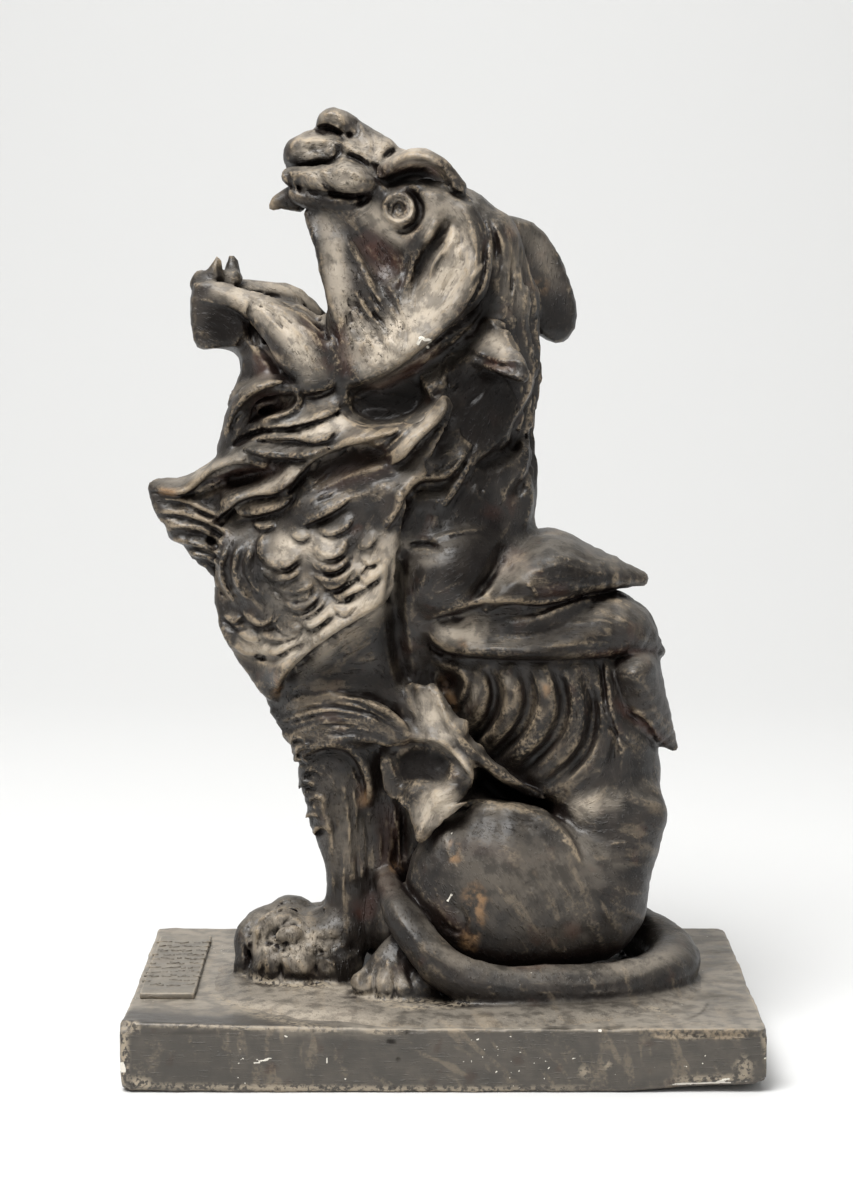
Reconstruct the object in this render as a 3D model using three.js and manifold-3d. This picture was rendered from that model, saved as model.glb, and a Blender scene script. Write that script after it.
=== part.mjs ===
// A seated lion that throws its head back and roars, cast in plaster with its own oval ground, bedded on a
// rectangular slab beside a small raised tablet. Millimetres, +Z up, the lion faces -X, origin under the slab's
// centre.
import * as THREE from "three";
import { mergeVertices } from "three/addons/utils/BufferGeometryUtils.js";
import Module from "manifold-3d";

const wasm = await Module();
wasm.setup();

// Driving sizes of the slab, the ground and the tablet
const SLAB = { length: 345, depth: 230, height: 35, chamfer: 2.5 };
const GROUND = { centreX: 8, centreY: -6, halfLength: 140, halfDepth: 105, height: 3, spread: 1.012, sides: 28 };
const TABLET = { left: -168, front: -53, length: 135, width: 30.5, height: 3.5 };

// The lion is built about an upright middle plane, a little behind the slab's centre line
const MID_PLANE = 15;
const ROUND_SIDES = 10;
const THIN_SIDES = 5;
const BALL = { segments: 10, rings: 6 };
const SMALL_BALL = { segments: 6, rings: 4 };
const CAP_ANGLE = 50;
const CHEEK_THICK = 12;
const SKIN_THICK = 9;
const TOE_TILT = 25;

// Places on the lion are written as the column and row where they show in a side view of 853 x 1200 dots, with
// their depth behind the slab's centre line in millimetres. The eye of that view stands in front of the slab.
const VIEW = { eye: new THREE.Vector3(-9, -1654, 460), tilt: THREE.MathUtils.degToRad(7.2), focal: 2966 };
const VIEW_CENTRE = { column: 426.5, row: 600 };

function seen(column, row, depth) {
  const right = (column - VIEW_CENTRE.column) / VIEW.focal;
  const up = (VIEW_CENTRE.row - row) / VIEW.focal;
  const ray = new THREE.Vector3(
    right,
    Math.cos(VIEW.tilt) + up * Math.sin(VIEW.tilt),
    up * Math.cos(VIEW.tilt) - Math.sin(VIEW.tilt),
  );
  return ray.multiplyScalar((depth - VIEW.eye.y) / ray.y).add(VIEW.eye);
}

const acrossMiddle = (point) => point.setY(2 * MID_PLANE - point.y);

// A closed triangle mesh as a solid that can be joined and cut
function solid(geometry) {
  const bare = geometry.clone();
  bare.deleteAttribute("normal");
  bare.deleteAttribute("uv");
  const merged = mergeVertices(bare, 1e-4);
  return new wasm.Manifold(
    new wasm.Mesh({
      numProp: 3,
      vertProperties: new Float32Array(merged.attributes.position.array),
      triVerts: new Uint32Array(merged.index.array),
    }),
  );
}

// An egg shape. half is its three half sizes, and tilt turns it in the side view, clockwise, in degrees.
function ball([column, row, depth], half, tilt = 0, far = false, { segments, rings } = BALL) {
  const centre = seen(column, row, depth);
  if (far) acrossMiddle(centre);
  const egg = new THREE.SphereGeometry(1, segments, rings);
  egg.scale(...half);
  egg.rotateY(THREE.MathUtils.degToRad(tilt));
  egg.translate(centre.x, centre.y, centre.z);
  return solid(egg);
}

// A body swept through stations [column, row, depth, wide, deep]. wide is its half size across the path in the
// side view and deep its half size in depth. A thick one has rounded ends, and a thin one ends flat.
function limb(stations, { far = false, sides = ROUND_SIDES } = {}) {
  const centres = stations.map(([column, row, depth]) => seen(column, row, depth));
  if (far) centres.forEach(acrossMiddle);
  const path = new THREE.CatmullRomCurve3(centres);
  const steps = (stations.length - 1) * (sides > THIN_SIDES ? 2 : 1);
  const sizeAt = (t, which) => {
    const s = t * (stations.length - 1);
    const i = Math.min(Math.floor(s), stations.length - 2);
    return THREE.MathUtils.lerp(stations[i][which], stations[i + 1][which], s - i);
  };
  const rows = [];
  const side = new THREE.Vector3(0, 1, 0);
  const addRing = (t, shrink, shift) => {
    const along = path.getTangent(t);
    side.addScaledVector(along, -side.dot(along)).normalize();
    const across = new THREE.Vector3().crossVectors(side, along);
    const wide = sizeAt(t, 3);
    const centre = path.getPoint(t).addScaledVector(along, shift * Math.min(wide, sizeAt(t, 4)));
    rows.push(
      Array.from({ length: sides }, (_, k) => {
        const angle = (2 * Math.PI * k) / sides;
        return centre
          .clone()
          .addScaledVector(across, wide * shrink * Math.cos(angle))
          .addScaledVector(side, sizeAt(t, 4) * shrink * Math.sin(angle));
      }),
    );
  };
  const cap = THREE.MathUtils.degToRad(CAP_ANGLE);
  if (sides > THIN_SIDES) addRing(0, Math.cos(cap), -Math.sin(cap));
  for (let i = 0; i <= steps; i++) addRing(i / steps, 1, 0);
  if (sides > THIN_SIDES) addRing(1, Math.cos(cap), Math.sin(cap));
  return solid(closedRings(rows));
}

// Rings of equal length, each one row of points, joined to their neighbours and closed with a fan at both ends
function closedRings(rows) {
  const count = rows[0].length;
  const middleOf = (row) => row.reduce((sum, p) => sum.add(p), new THREE.Vector3()).divideScalar(count);
  const points = [...rows.flat(), middleOf(rows[0]), middleOf(rows.at(-1))];
  const first = points.length - 2;
  const last = points.length - 1;
  const faces = [];
  for (let k = 0; k < count; k++) {
    const next = (k + 1) % count;
    faces.push(first, next, k);
    for (let r = 0; r + 1 < rows.length; r++) {
      const a = r * count + k;
      const b = r * count + next;
      faces.push(a, b, a + count, b, b + count, a + count);
    }
    const end = (rows.length - 1) * count;
    faces.push(last, end + k, end + next);
  }
  const geometry = new THREE.BufferGeometry().setFromPoints(points);
  geometry.setIndex(faces);
  return geometry;
}

// A plate whose outline is a list of [column, row, depth] seen from the side, and thick in depth
function plate(outline, thick, far = false) {
  const face = outline.map(([column, row, depth]) => seen(column, row, depth));
  if (far) face.forEach(acrossMiddle);
  const flat = () => face.map((p) => new THREE.Vector2(p.x, p.z));
  if (THREE.ShapeUtils.isClockWise(flat())) face.reverse();
  const triangles = THREE.ShapeUtils.triangulateShape(flat(), []);
  const points = [-1, 1].flatMap((s) => face.map((p) => p.clone().setY(p.y + (s * thick) / 2)));
  const n = face.length;
  const faces = triangles.flatMap(([a, b, c]) => [a, b, c, n + a, n + c, n + b]);
  for (let k = 0; k < n; k++) {
    const next = (k + 1) % n;
    faces.push(next, k, n + k, next, n + k, n + next);
  }
  const geometry = new THREE.BufferGeometry().setFromPoints(points);
  geometry.setIndex(faces);
  return solid(geometry);
}

const join = (pieces) => pieces.reduce((sum, piece) => sum.add(piece));
const onBothSides = (form) => [form(false), form(true)];

// Trunk, neck and belly, with a web of plaster that closes the gap between the legs
function body() {
  const trunk = [
    [604, 895, 15, 25, 48],
    [600, 830, 15, 34, 54],
    [568, 750, 15, 50, 48],
    [537, 672, 15, 61, 52],
    [508, 612, 15, 58, 54],
    [474, 568, 15, 40, 50],
    [448, 540, 15, 22, 34],
  ];
  const neck = [
    [456, 296, 15, 44, 34],
    [396, 382, 15, 82, 42],
    [378, 450, 15, 90, 48],
    [372, 525, 15, 91, 52],
    [348, 596, 12, 76, 50],
    [336, 650, 11, 62, 45],
    [340, 700, 10, 38, 38],
  ];
  const belly = [
    [500, 880, 15, 40, 36],
    [420, 800, 15, 38, 34],
    [404, 700, 15, 40, 36],
  ];
  const web = [
    [462, 905, 15, 32, 24],
    [372, 905, 15, 32, 14],
  ];
  const shoulder = (far) => ball([458, 572, -18], [37, 26, 35], 20, far);
  return [limb(trunk), limb(neck), limb(belly), limb(web), ...onBothSides(shoulder)];
}

function hindquarters() {
  const thigh = [
    [452, 880, -30, 39, 24],
    [504, 886, -31, 50, 32],
    [592, 882, -14, 38, 34],
  ];
  const hip = [
    [600, 870, -14, 30, 22],
    [625, 815, -8, 20, 20],
  ];
  const foot = [
    [430, 968, -45, 12, 15],
    [376, 982, -46, 11, 15],
  ];
  const small = (far) => [hip, foot].map((line) => limb(line, { far, sides: 6 }));
  return onBothSides((far) => join([limb(thigh, { far }), ...small(far)]));
}

function tail() {
  const line = [
    [612, 915, 58, 14, 14],
    [672, 956, 12, 15, 15],
    [660, 975, -22, 14, 14],
    [620, 985, -43, 13, 13],
    [560, 988, -54, 12, 12],
    [500, 985, -58, 12, 12],
    [452, 970, -59, 12, 12],
    [422, 944, -58, 12, 12],
    [402, 908, -52, 11, 11],
    [388, 872, -40, 9, 9],
    [376, 835, -28, 7, 7],
  ];
  return limb(line, { sides: 8 });
}

function frontLeg(far, paw) {
  const leg = [
    [372, 690, -8, 34, 22],
    [345, 745, -7, 30, 20],
    [343, 800, -6, 20, 17],
    [350, 860, -5, 14, 14],
    [348, 905, -4, 13, 13],
    [338, 940, -3, 14, 14],
  ];
  return join([limb(leg, { far }), ...pawSolids(paw)]);
}

// A paw: a broad pad with its toes side by side at the front
function pawSolids({ heel, ball: pad, toes, toeSize, spread }) {
  const fingers = [-1.5, -0.5, 0.5, 1.5].map((k) => {
    const [column, row, depth] = toes;
    return ball([column + 5 * Math.abs(k), row, depth + k * spread], toeSize, TOE_TILT, false, SMALL_BALL);
  });
  return [limb([heel, pad]), ...fingers];
}

const NEAR_PAW = {
  heel: [338, 950, -3, 15, 15],
  ball: [302, 954, -4, 14, 19],
  toes: [276, 964, -4],
  toeSize: [15, 8, 9],
  spread: 11,
};
const FAR_PAW = {
  heel: [322, 930, 34, 15, 15],
  ball: [284, 925, 34, 17, 20],
  toes: [252, 946, 34],
  toeSize: [17, 8, 10],
  spread: 12,
};

// Upper head: skull, snout, nose, lips, brow and the cheeks that reach down to the jaw
function head() {
  const skull = [
    [456, 270, 15, 40, 37],
    [400, 200, 15, 27, 32],
    [350, 168, 15, 23, 24],
    [318, 162, 15, 19, 20],
  ];
  const nose = ball([312, 150, 12], [17, 13, 10]);
  const nostrilRidge = ball([335, 126, 14], [15, 14, 10], 20);
  const cheek = [
    [303, 212, -8],
    [348, 214, -14],
    [404, 236, -20],
    [470, 204, -22],
    [488, 252, -26],
    [482, 300, -28],
    [450, 324, -28],
    [412, 342, -26],
    [358, 380, -20],
    [340, 370, -18],
    [331, 322, -16],
    [316, 252, -12],
  ];
  const lip = [
    [304, 187, -2, 10, 11],
    [352, 189, -6, 12, 12],
  ];
  const brow = [
    [386, 172, -12, 6, 8],
    [424, 163, -19, 8, 9],
    [466, 192, -20, 6, 8],
  ];
  const frill = [
    [474, 200, -20, 7, 9],
    [491, 248, -26, 8, 10],
    [478, 300, -30, 9, 10],
    [416, 344, -28, 9, 9],
    [358, 378, -20, 8, 8],
  ];
  const fang = [
    [296, 188, 2, 6, 5],
    [270, 203, 0, 1.4, 1.4],
  ];
  const thin = (far) => [brow, frill, fang].map((line) => limb(line, { far, sides: THIN_SIDES }));
  const sides = onBothSides((far) =>
    join([plate(cheek, CHEEK_THICK, far), limb(lip, { far, sides: 8 }), ...thin(far)]),
  );
  const nearEar = [
    [470, 335, -28, 15, 9],
    [500, 348, -40, 12, 7],
    [522, 372, -47, 4, 4],
  ];
  const farEar = [
    [498, 250, 34, 20, 9],
    [530, 268, 46, 20, 8],
    [550, 304, 50, 14, 7],
    [558, 330, 48, 7, 5],
  ];
  const ears = [nearEar, farEar].map((line) => limb(line, { sides: 6 }));
  return [limb(skull), nose, nostrilRidge, ...sides, ...ears];
}

// The hollow of the open mouth, cut out between the cheeks
function mouth() {
  return limb([
    [262, 262, 16, 26, 15],
    [330, 280, 16, 26, 15],
    [372, 296, 16, 18, 15],
  ]);
}

function jaw() {
  const chin = plate(
    [
      [196, 288, 14],
      [238, 292, 14],
      [250, 340, 14],
      [212, 347, 14],
      [194, 336, 14],
    ],
    34,
  );
  const floor = [
    [232, 322, 15, 12, 17],
    [290, 362, 15, 18, 26],
    [350, 420, 15, 26, 36],
  ];
  const nearRim = [
    [206, 288, 4, 6, 6],
    [248, 302, -6, 8, 6],
    [302, 352, -15, 15, 8],
    [322, 378, -18, 12, 8],
  ];
  const farRim = [
    [208, 283, 28, 5, 5],
    [278, 291, 38, 6, 6],
    [332, 330, 48, 10, 7],
  ];
  const teeth = [
    [217, 8, 0],
    [233, 24, 4],
  ].map(([column, depth, lift]) =>
    limb(
      [
        [column, 286 - lift, depth, 5, 5],
        [column, 259 - lift, depth, 1, 1],
      ],
      { sides: THIN_SIDES },
    ),
  );
  const rims = [nearRim, farRim].map((line) => limb(line, { sides: THIN_SIDES }));
  return [chin, limb(floor), ...rims, ...teeth];
}

// Locks of the mane and the pointed tuft on the throat
function mane() {
  const locks = [
    [[296, 386, -12, 4, 10], [250, 396, -10, 8, 16], [230, 448, 2, 5, 16]],
    [[312, 428, -16, 4, 10], [248, 458, -8, 11, 17], [160, 484, 8, 3, 5]],
    [[378, 406, -28, 3, 8], [330, 462, -27, 11, 14], [236, 512, -14, 5, 10]],
    [[448, 398, -28, 3, 6], [405, 452, -34, 10, 12], [322, 514, -31, 4, 8]],
    [[462, 432, -32, 3, 6], [414, 500, -37, 10, 11], [384, 566, -37, 3, 6]],
  ];
  const throatFrill = [
    [196, 500, 10, 20, 16],
    [196, 545, 10, 14, 12],
  ];
  const bothLocks = locks.flatMap((lock) => onBothSides((far) => limb(lock, { far, sides: THIN_SIDES })));
  return [...bothLocks, limb(throatFrill, { sides: 6 })];
}

// The scaled breastplate, whose rim stands proud of the shoulder behind it
function breastplate(far) {
  const rim = [
    [396, 520, -34, 6, 6],
    [384, 596, -36, 8, 9],
    [305, 652, -29, 8, 10],
    [272, 698, -4, 5, 9],
  ];
  return limb(rim, { far, sides: THIN_SIDES });
}

// Three overlapping plates that narrow to points on the spine
function backPlates() {
  const shoulderPlate = [
    [480, 598, 15, 12, 54],
    [540, 563, 15, 22, 50],
    [585, 566, 15, 16, 38],
    [643, 579, 15, 3, 8],
  ];
  const middlePlate = [
    [450, 630, 15, 12, 60],
    [540, 630, 15, 16, 60],
    [620, 624, 15, 18, 44],
    [664, 649, 15, 3, 8],
  ];
  const lowerPlate = [
    [615, 668, 15, 18, 46],
    [645, 700, 15, 14, 34],
    [674, 745, 15, 3, 8],
  ];
  return [shoulderPlate, middlePlate, lowerPlate].map((line) => limb(line));
}

// The bare ribs with the strap of skin that runs below them
function ribs(far) {
  const lines = [0, 1, 2, 3, 4].map((k) => {
    const top = 482 + 32 * k;
    return [
      [top, 664, -32 + k, 4, 5],
      [top + 6, 702 + 3 * k, -36 + k, 6, 7],
      [top - 20, 744 + 8 * k, -32 + k, 3, 4],
    ];
  });
  const strap = [
    [428, 645, -36, 4, 6],
    [440, 695, -36, 5, 6],
    [472, 752, -34, 5, 6],
    [528, 792, -28, 4, 6],
  ];
  return join([strap, ...lines].map((line) => limb(line, { far, sides: THIN_SIDES })));
}

// The skin and hair that flare out behind the elbow
function elbowFlare(far) {
  const wing = [
    [382, 728, -22],
    [410, 738, -30],
    [444, 744, -36],
    [474, 780, -40],
    [456, 806, -38],
    [420, 844, -36],
    [408, 812, -32],
    [384, 796, -26],
  ];
  const shoulderSkin = [
    [404, 660, -26],
    [432, 668, -32],
    [452, 722, -36],
    [462, 756, -36],
    [412, 738, -30],
  ];
  return join([wing, shoulderSkin].map((outline) => plate(outline, SKIN_THICK, far)));
}

function ground() {
  const oval = new THREE.CylinderGeometry(1, GROUND.spread, GROUND.height, GROUND.sides);
  oval.rotateX(Math.PI / 2);
  oval.scale(GROUND.halfLength, GROUND.halfDepth, 1);
  oval.translate(GROUND.centreX, GROUND.centreY, SLAB.height + GROUND.height / 2);
  return solid(oval);
}

// Everything under the slab's top is cut away, so that the lion beds flat on it
function belowSlab() {
  const deep = 100;
  const block = new THREE.BoxGeometry(2 * SLAB.length, 2 * SLAB.depth, deep);
  block.translate(0, 0, SLAB.height - deep / 2);
  return solid(block);
}

function lion() {
  const forms = [
    ...body(),
    ...hindquarters(),
    tail(),
    frontLeg(false, NEAR_PAW),
    frontLeg(true, FAR_PAW),
    ...head(),
    ...mane(),
    ...onBothSides(breastplate),
    ...backPlates(),
    ...onBothSides(ribs),
    ...onBothSides(elbowFlare),
  ];
  const withMouth = join(forms).subtract(mouth());
  return join([withMouth, ...jaw(), ground()]).subtract(belowSlab());
}

function slab() {
  const inset = SLAB.chamfer;
  const outline = new THREE.Shape();
  const x = SLAB.length / 2 - inset;
  const y = SLAB.depth / 2 - inset;
  outline.moveTo(-x, -y).lineTo(x, -y).lineTo(x, y).lineTo(-x, y).closePath();
  const block = new THREE.ExtrudeGeometry(outline, {
    depth: SLAB.height - inset,
    bevelThickness: inset,
    bevelSize: inset,
    bevelSegments: 1,
    steps: 1,
  });
  // Only the top edge is worn round, so the lower bevel is squared off by cutting it away
  const cut = new THREE.BoxGeometry(2 * SLAB.length, 2 * SLAB.depth, 2 * inset);
  cut.translate(0, 0, -inset);
  return solid(block).subtract(solid(cut));
}

function tablet() {
  const box = new THREE.BoxGeometry(TABLET.width, TABLET.length, TABLET.height);
  box.translate(
    TABLET.left + TABLET.width / 2,
    TABLET.front + TABLET.length / 2,
    SLAB.height + TABLET.height / 2,
  );
  return solid(box);
}

function geometryOf(piece) {
  const mesh = piece.getMesh();
  const geometry = new THREE.BufferGeometry();
  const points = new Float32Array(mesh.numVert * 3);
  for (let i = 0; i < mesh.numVert; i++) {
    points.set(mesh.vertProperties.subarray(i * mesh.numProp, i * mesh.numProp + 3), 3 * i);
  }
  geometry.setAttribute("position", new THREE.BufferAttribute(points, 3));
  geometry.setIndex(new THREE.BufferAttribute(mesh.triVerts, 1));
  geometry.computeVertexNormals();
  return geometry;
}

function named(name, piece, colour, roughness) {
  const material = new THREE.MeshStandardMaterial({ color: colour, roughness, metalness: 0 });
  const mesh = new THREE.Mesh(geometryOf(piece), material);
  mesh.name = name;
  return mesh;
}

const statue = new THREE.Group();
statue.add(named("lion", lion(), 0x3a352f, 0.5));
statue.add(named("slab", slab(), 0x4a4741, 0.6));
statue.add(named("tablet", tablet(), 0x55504a, 0.6));

export default statue;
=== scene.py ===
# A seated roaring lion, a sculptor's model cast in plaster, on its slab with a small tablet.
import math

import bmesh
import bpy
import numpy as np
import openvdb
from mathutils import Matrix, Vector


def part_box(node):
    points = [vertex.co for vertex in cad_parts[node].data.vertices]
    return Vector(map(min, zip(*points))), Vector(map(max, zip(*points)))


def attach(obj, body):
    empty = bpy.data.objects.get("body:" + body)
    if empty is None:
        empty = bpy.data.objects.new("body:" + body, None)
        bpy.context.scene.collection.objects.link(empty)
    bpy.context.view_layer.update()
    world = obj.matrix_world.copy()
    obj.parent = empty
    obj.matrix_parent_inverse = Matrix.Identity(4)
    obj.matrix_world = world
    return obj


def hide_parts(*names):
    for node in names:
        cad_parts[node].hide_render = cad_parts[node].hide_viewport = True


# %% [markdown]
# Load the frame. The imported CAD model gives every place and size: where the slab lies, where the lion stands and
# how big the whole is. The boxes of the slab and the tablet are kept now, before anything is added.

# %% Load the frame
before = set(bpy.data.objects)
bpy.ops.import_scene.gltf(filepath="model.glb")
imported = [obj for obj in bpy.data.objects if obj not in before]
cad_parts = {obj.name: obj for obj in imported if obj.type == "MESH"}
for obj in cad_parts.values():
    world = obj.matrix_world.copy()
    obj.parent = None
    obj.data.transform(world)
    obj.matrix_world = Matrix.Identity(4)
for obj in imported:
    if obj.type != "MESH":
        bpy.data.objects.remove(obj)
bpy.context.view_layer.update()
SLAB_LOW, SLAB_HIGH = (np.array(corner) * 1000 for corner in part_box("slab"))
TABLET_LOW, TABLET_HIGH = (np.array(corner) * 1000 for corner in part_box("tablet"))
SLAB_TOP = float(SLAB_HIGH[2])
print("slab", SLAB_HIGH - SLAB_LOW, "mm, tablet", TABLET_HIGH - TABLET_LOW, "mm")

# %% [markdown]
# The statue is modelled from one side view, so the work is laid out the way that a sculptor measures from a
# drawing: a place is the column and row where it shows in a picture of 853 x 1200 dots, and its depth in
# millimetres away from the viewer. These two helpers turn such a place into millimetres in the room and back, and
# the camera at the end of the script stands at the same eye point.

# %% The view that places are measured in
PICTURE = (853, 1200)
EYE = np.array([-9.0, -1654.0, 460.0])
TILT = math.radians(7.2)
FOCAL = 2966.0


def seen(column, row, depth):
    """The point in millimetres that shows at a column and row and lies at a depth."""
    right = (column - PICTURE[0] / 2) / FOCAL
    up = (PICTURE[1] / 2 - row) / FOCAL
    ahead = math.cos(TILT) + up * math.sin(TILT)
    rise = -math.sin(TILT) + up * math.cos(TILT)
    travel = (depth - EYE[1]) / ahead
    return np.array([EYE[0] + travel * right, depth, EYE[2] + travel * rise])


def shown(x, y, z):
    """The column and row where points in millimetres show, with arrays of any shapes that fit together."""
    away = (y - EYE[1]) * math.cos(TILT) - (z - EYE[2]) * math.sin(TILT)
    above = (y - EYE[1]) * math.sin(TILT) + (z - EYE[2]) * math.cos(TILT)
    return PICTURE[0] / 2 + FOCAL * (x - EYE[0]) / away, PICTURE[1] / 2 - FOCAL * above / away


MM_PER_DOT = 0.565
print("one dot of the picture is about", MM_PER_DOT, "mm on the lion")

# %% [markdown]
# The clay. A modelled figure is one lump whose forms run into each other, and no stack of primitives gives that.
# So the lion is sculpted in a block of numbers: each cell of a fine grid holds its distance to the surface,
# negative inside. Adding a form is taking the smaller of two distances, and rounding where they meet is a soft
# smaller-of-two. At the end the surface where the distance is zero becomes the mesh. The lion's body is alike on
# both sides of its middle plane, so only the near half is sculpted and then mirrored.

# %% The block of clay
CELL = 1.25
MIDDLE = 15.0
HALF_WIDTH = 131.0
CLAY_LOW = np.array([-172.0, MIDDLE - HALF_WIDTH, 24.0])
CLAY_HIGH = np.array([160.0, MIDDLE + HALF_WIDTH, 536.0])
FAR = 24.0
REACH = 12.0


def cell_lines(low, high, cell):
    """The x, y and z of a grid's cells, each shaped so that the three fit together."""
    axes = [np.arange(a, b, cell, dtype=np.float32) for a, b in zip(low, high)]
    return axes[0][:, None, None], axes[1][None, :, None], axes[2][None, None, :]


class Clay:
    """A block of distances with the tools that add to it and cut from it."""

    def __init__(self, low, high, cell):
        self.cell = cell
        self.lines = cell_lines(low, high, cell)
        self.low = np.array([line.flat[0] for line in self.lines])
        self.field = np.full([line.size for line in self.lines], FAR, np.float32)

    def window(self, low, high):
        """The part of the block round a box, and the x, y and z of its cells."""
        first = np.maximum(np.floor((np.array(low) - self.low) / self.cell).astype(int), 0)
        last = np.ceil((np.array(high) - self.low) / self.cell).astype(int) + 1
        part = tuple(slice(a, max(b, a)) for a, b in zip(first, last))
        lines = (self.lines[0][part[0]], self.lines[1][:, part[1]], self.lines[2][:, :, part[2]])
        return part, lines

    def add(self, part, form, soft):
        self.field[part] = soft_least(self.field[part], form, soft)

    def cut(self, part, form, soft):
        self.field[part] = -soft_least(-self.field[part], form, soft)


def soft_least(a, b, soft):
    """The smaller of two distances, rounded over `soft` millimetres where they meet."""
    overlap = np.maximum(soft - np.abs(a - b), 0) / soft
    return np.minimum(a, b) - overlap * overlap * (soft / 4)


half = Clay(CLAY_LOW, [CLAY_HIGH[0], MIDDLE, CLAY_HIGH[2]], CELL)
print("near half of the clay", half.field.shape, "cells of", CELL, "mm")

# %% [markdown]
# The tools that add clay. A limb is a sausage that follows a path and is flatter one way than the other: legs,
# tail, locks of hair. A ball is a single lump. A sheet is a slab of clay cut to an outline, as thick as it is
# told, such as a plate of armour, an ear or a flap of skin. Each takes places as [column, row, depth].

# %% Tools that add clay
def curve(points, steps):
    """A smooth curve through the points (Catmull-Rom), with some steps between each two."""
    points = np.array(points, float)
    padded = np.vstack([2 * points[0] - points[1], points, 2 * points[-1] - points[-2]])
    t = np.arange(steps)[:, None] / steps
    parts = []
    for a, b, c, d in zip(padded, padded[1:], padded[2:], padded[3:]):
        cubic = (-a + 3 * b - 3 * c + d) * t**3 + (2 * a - 5 * b + 4 * c - d) * t**2 + (c - a) * t
        parts.append(b + cubic / 2)
    return np.vstack([*parts, points[-1:]])


def oval_distance(along, wide, deep, sizes):
    """Distance to an oval whose half sizes are given, from offsets in its three directions."""
    scaled = np.sqrt((along / sizes[0]) ** 2 + (wide / sizes[1]) ** 2 + (deep / sizes[2]) ** 2) + 1e-6
    plain = np.sqrt(along**2 + wide**2 + deep**2)
    return plain - plain / scaled


def limb_form(lines, spine):
    """Distances to a limb; the spine is rows of x, y, z, half width and half depth."""
    x, y, z = lines
    form = np.full(np.broadcast_shapes(x.shape, y.shape, z.shape), FAR, np.float32)
    for a, b in zip(spine, spine[1:]):
        step = (b - a)[:3]
        length = float(np.linalg.norm(step)) + 1e-6
        forward = step / length
        side = np.cross(forward, [0, 1, 0])
        side /= np.linalg.norm(side) + 1e-6
        front = np.cross(side, forward)
        reach = max(a[3], a[4], b[3], b[4]) + REACH
        near = []
        for axis, line in enumerate(lines):
            inside = (line.ravel() > min(a[axis], b[axis]) - reach) & (line.ravel() < max(a[axis], b[axis]) + reach)
            near.append(np.flatnonzero(inside))
        if min(len(n) for n in near) == 0:
            continue
        part = tuple(slice(n[0], n[-1] + 1) for n in near)
        dx = x[part[0]] - a[0]
        dy = y[:, part[1]] - a[1]
        dz = z[:, :, part[2]] - a[2]
        share = np.clip((dx * forward[0] + dy * forward[1] + dz * forward[2]) / length, 0, 1)
        dx, dy, dz = dx - share * step[0], dy - share * step[1], dz - share * step[2]
        wide = a[3] + share * (b[3] - a[3])
        deep = a[4] + share * (b[4] - a[4])
        offset_wide = dx * side[0] + dy * side[1] + dz * side[2]
        offset_deep = dx * front[0] + dy * front[1] + dz * front[2]
        offset_along = dx * forward[0] + dy * forward[1] + dz * forward[2]
        least = np.minimum(wide, deep)
        piece = oval_distance(offset_along, offset_wide, offset_deep, (least, wide, deep))
        form[part] = np.minimum(form[part], piece)
    return form


def spine_of(stations, steps):
    """Stations [column, row, depth, wide, deep] as a smooth spine in millimetres."""
    places = [[*seen(*station[:3]), *station[3:]] for station in stations]
    spine = curve(places, steps)
    spine[:, 3:] = np.maximum(spine[:, 3:], 0.5)
    return spine


def limb(clay, stations, soft=4.0, steps=4, cut=False):
    spine = spine_of(stations, steps)
    grow = spine[:, 3:].max() + REACH
    part, lines = clay.window(spine[:, :3].min(0) - grow, spine[:, :3].max(0) + grow)
    (clay.cut if cut else clay.add)(part, limb_form(lines, spine), soft)


def ball(clay, place, sizes, turn=0.0, soft=4.0, cut=False):
    """A lump at [column, row, depth]: half sizes along, across and away, turned in the picture plane."""
    centre = seen(*place)
    grow = max(sizes) + REACH
    part, (x, y, z) = clay.window(centre - grow, centre + grow)
    c, s = math.cos(math.radians(turn)), math.sin(math.radians(turn))
    dx, dy, dz = x - centre[0], y - centre[1], z - centre[2]
    form = oval_distance(dx * c + dz * s, dz * c - dx * s, dy, sizes)
    (clay.cut if cut else clay.add)(part, form, soft)


def outline_distance(outline, columns, rows):
    """Distance in dots from every dot of a window to a closed outline, negative inside."""
    least = np.full((len(rows), len(columns)), 1e9)
    inside = np.zeros(least.shape, bool)
    u, v = columns[None, :], rows[:, None]
    for (ax, ay), (bx, by) in zip(outline, np.roll(outline, -1, axis=0)):
        ex, ey = bx - ax, by - ay
        share = np.clip(((u - ax) * ex + (v - ay) * ey) / (ex * ex + ey * ey + 1e-9), 0, 1)
        least = np.minimum(least, (u - ax - share * ex) ** 2 + (v - ay - share * ey) ** 2)
        if ay != by:
            crosses = (ay > v) != (by > v)
            inside ^= crosses & (u < ax + (v - ay) * ex / ey)
    return np.where(inside, -1, 1) * np.sqrt(least)


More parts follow.
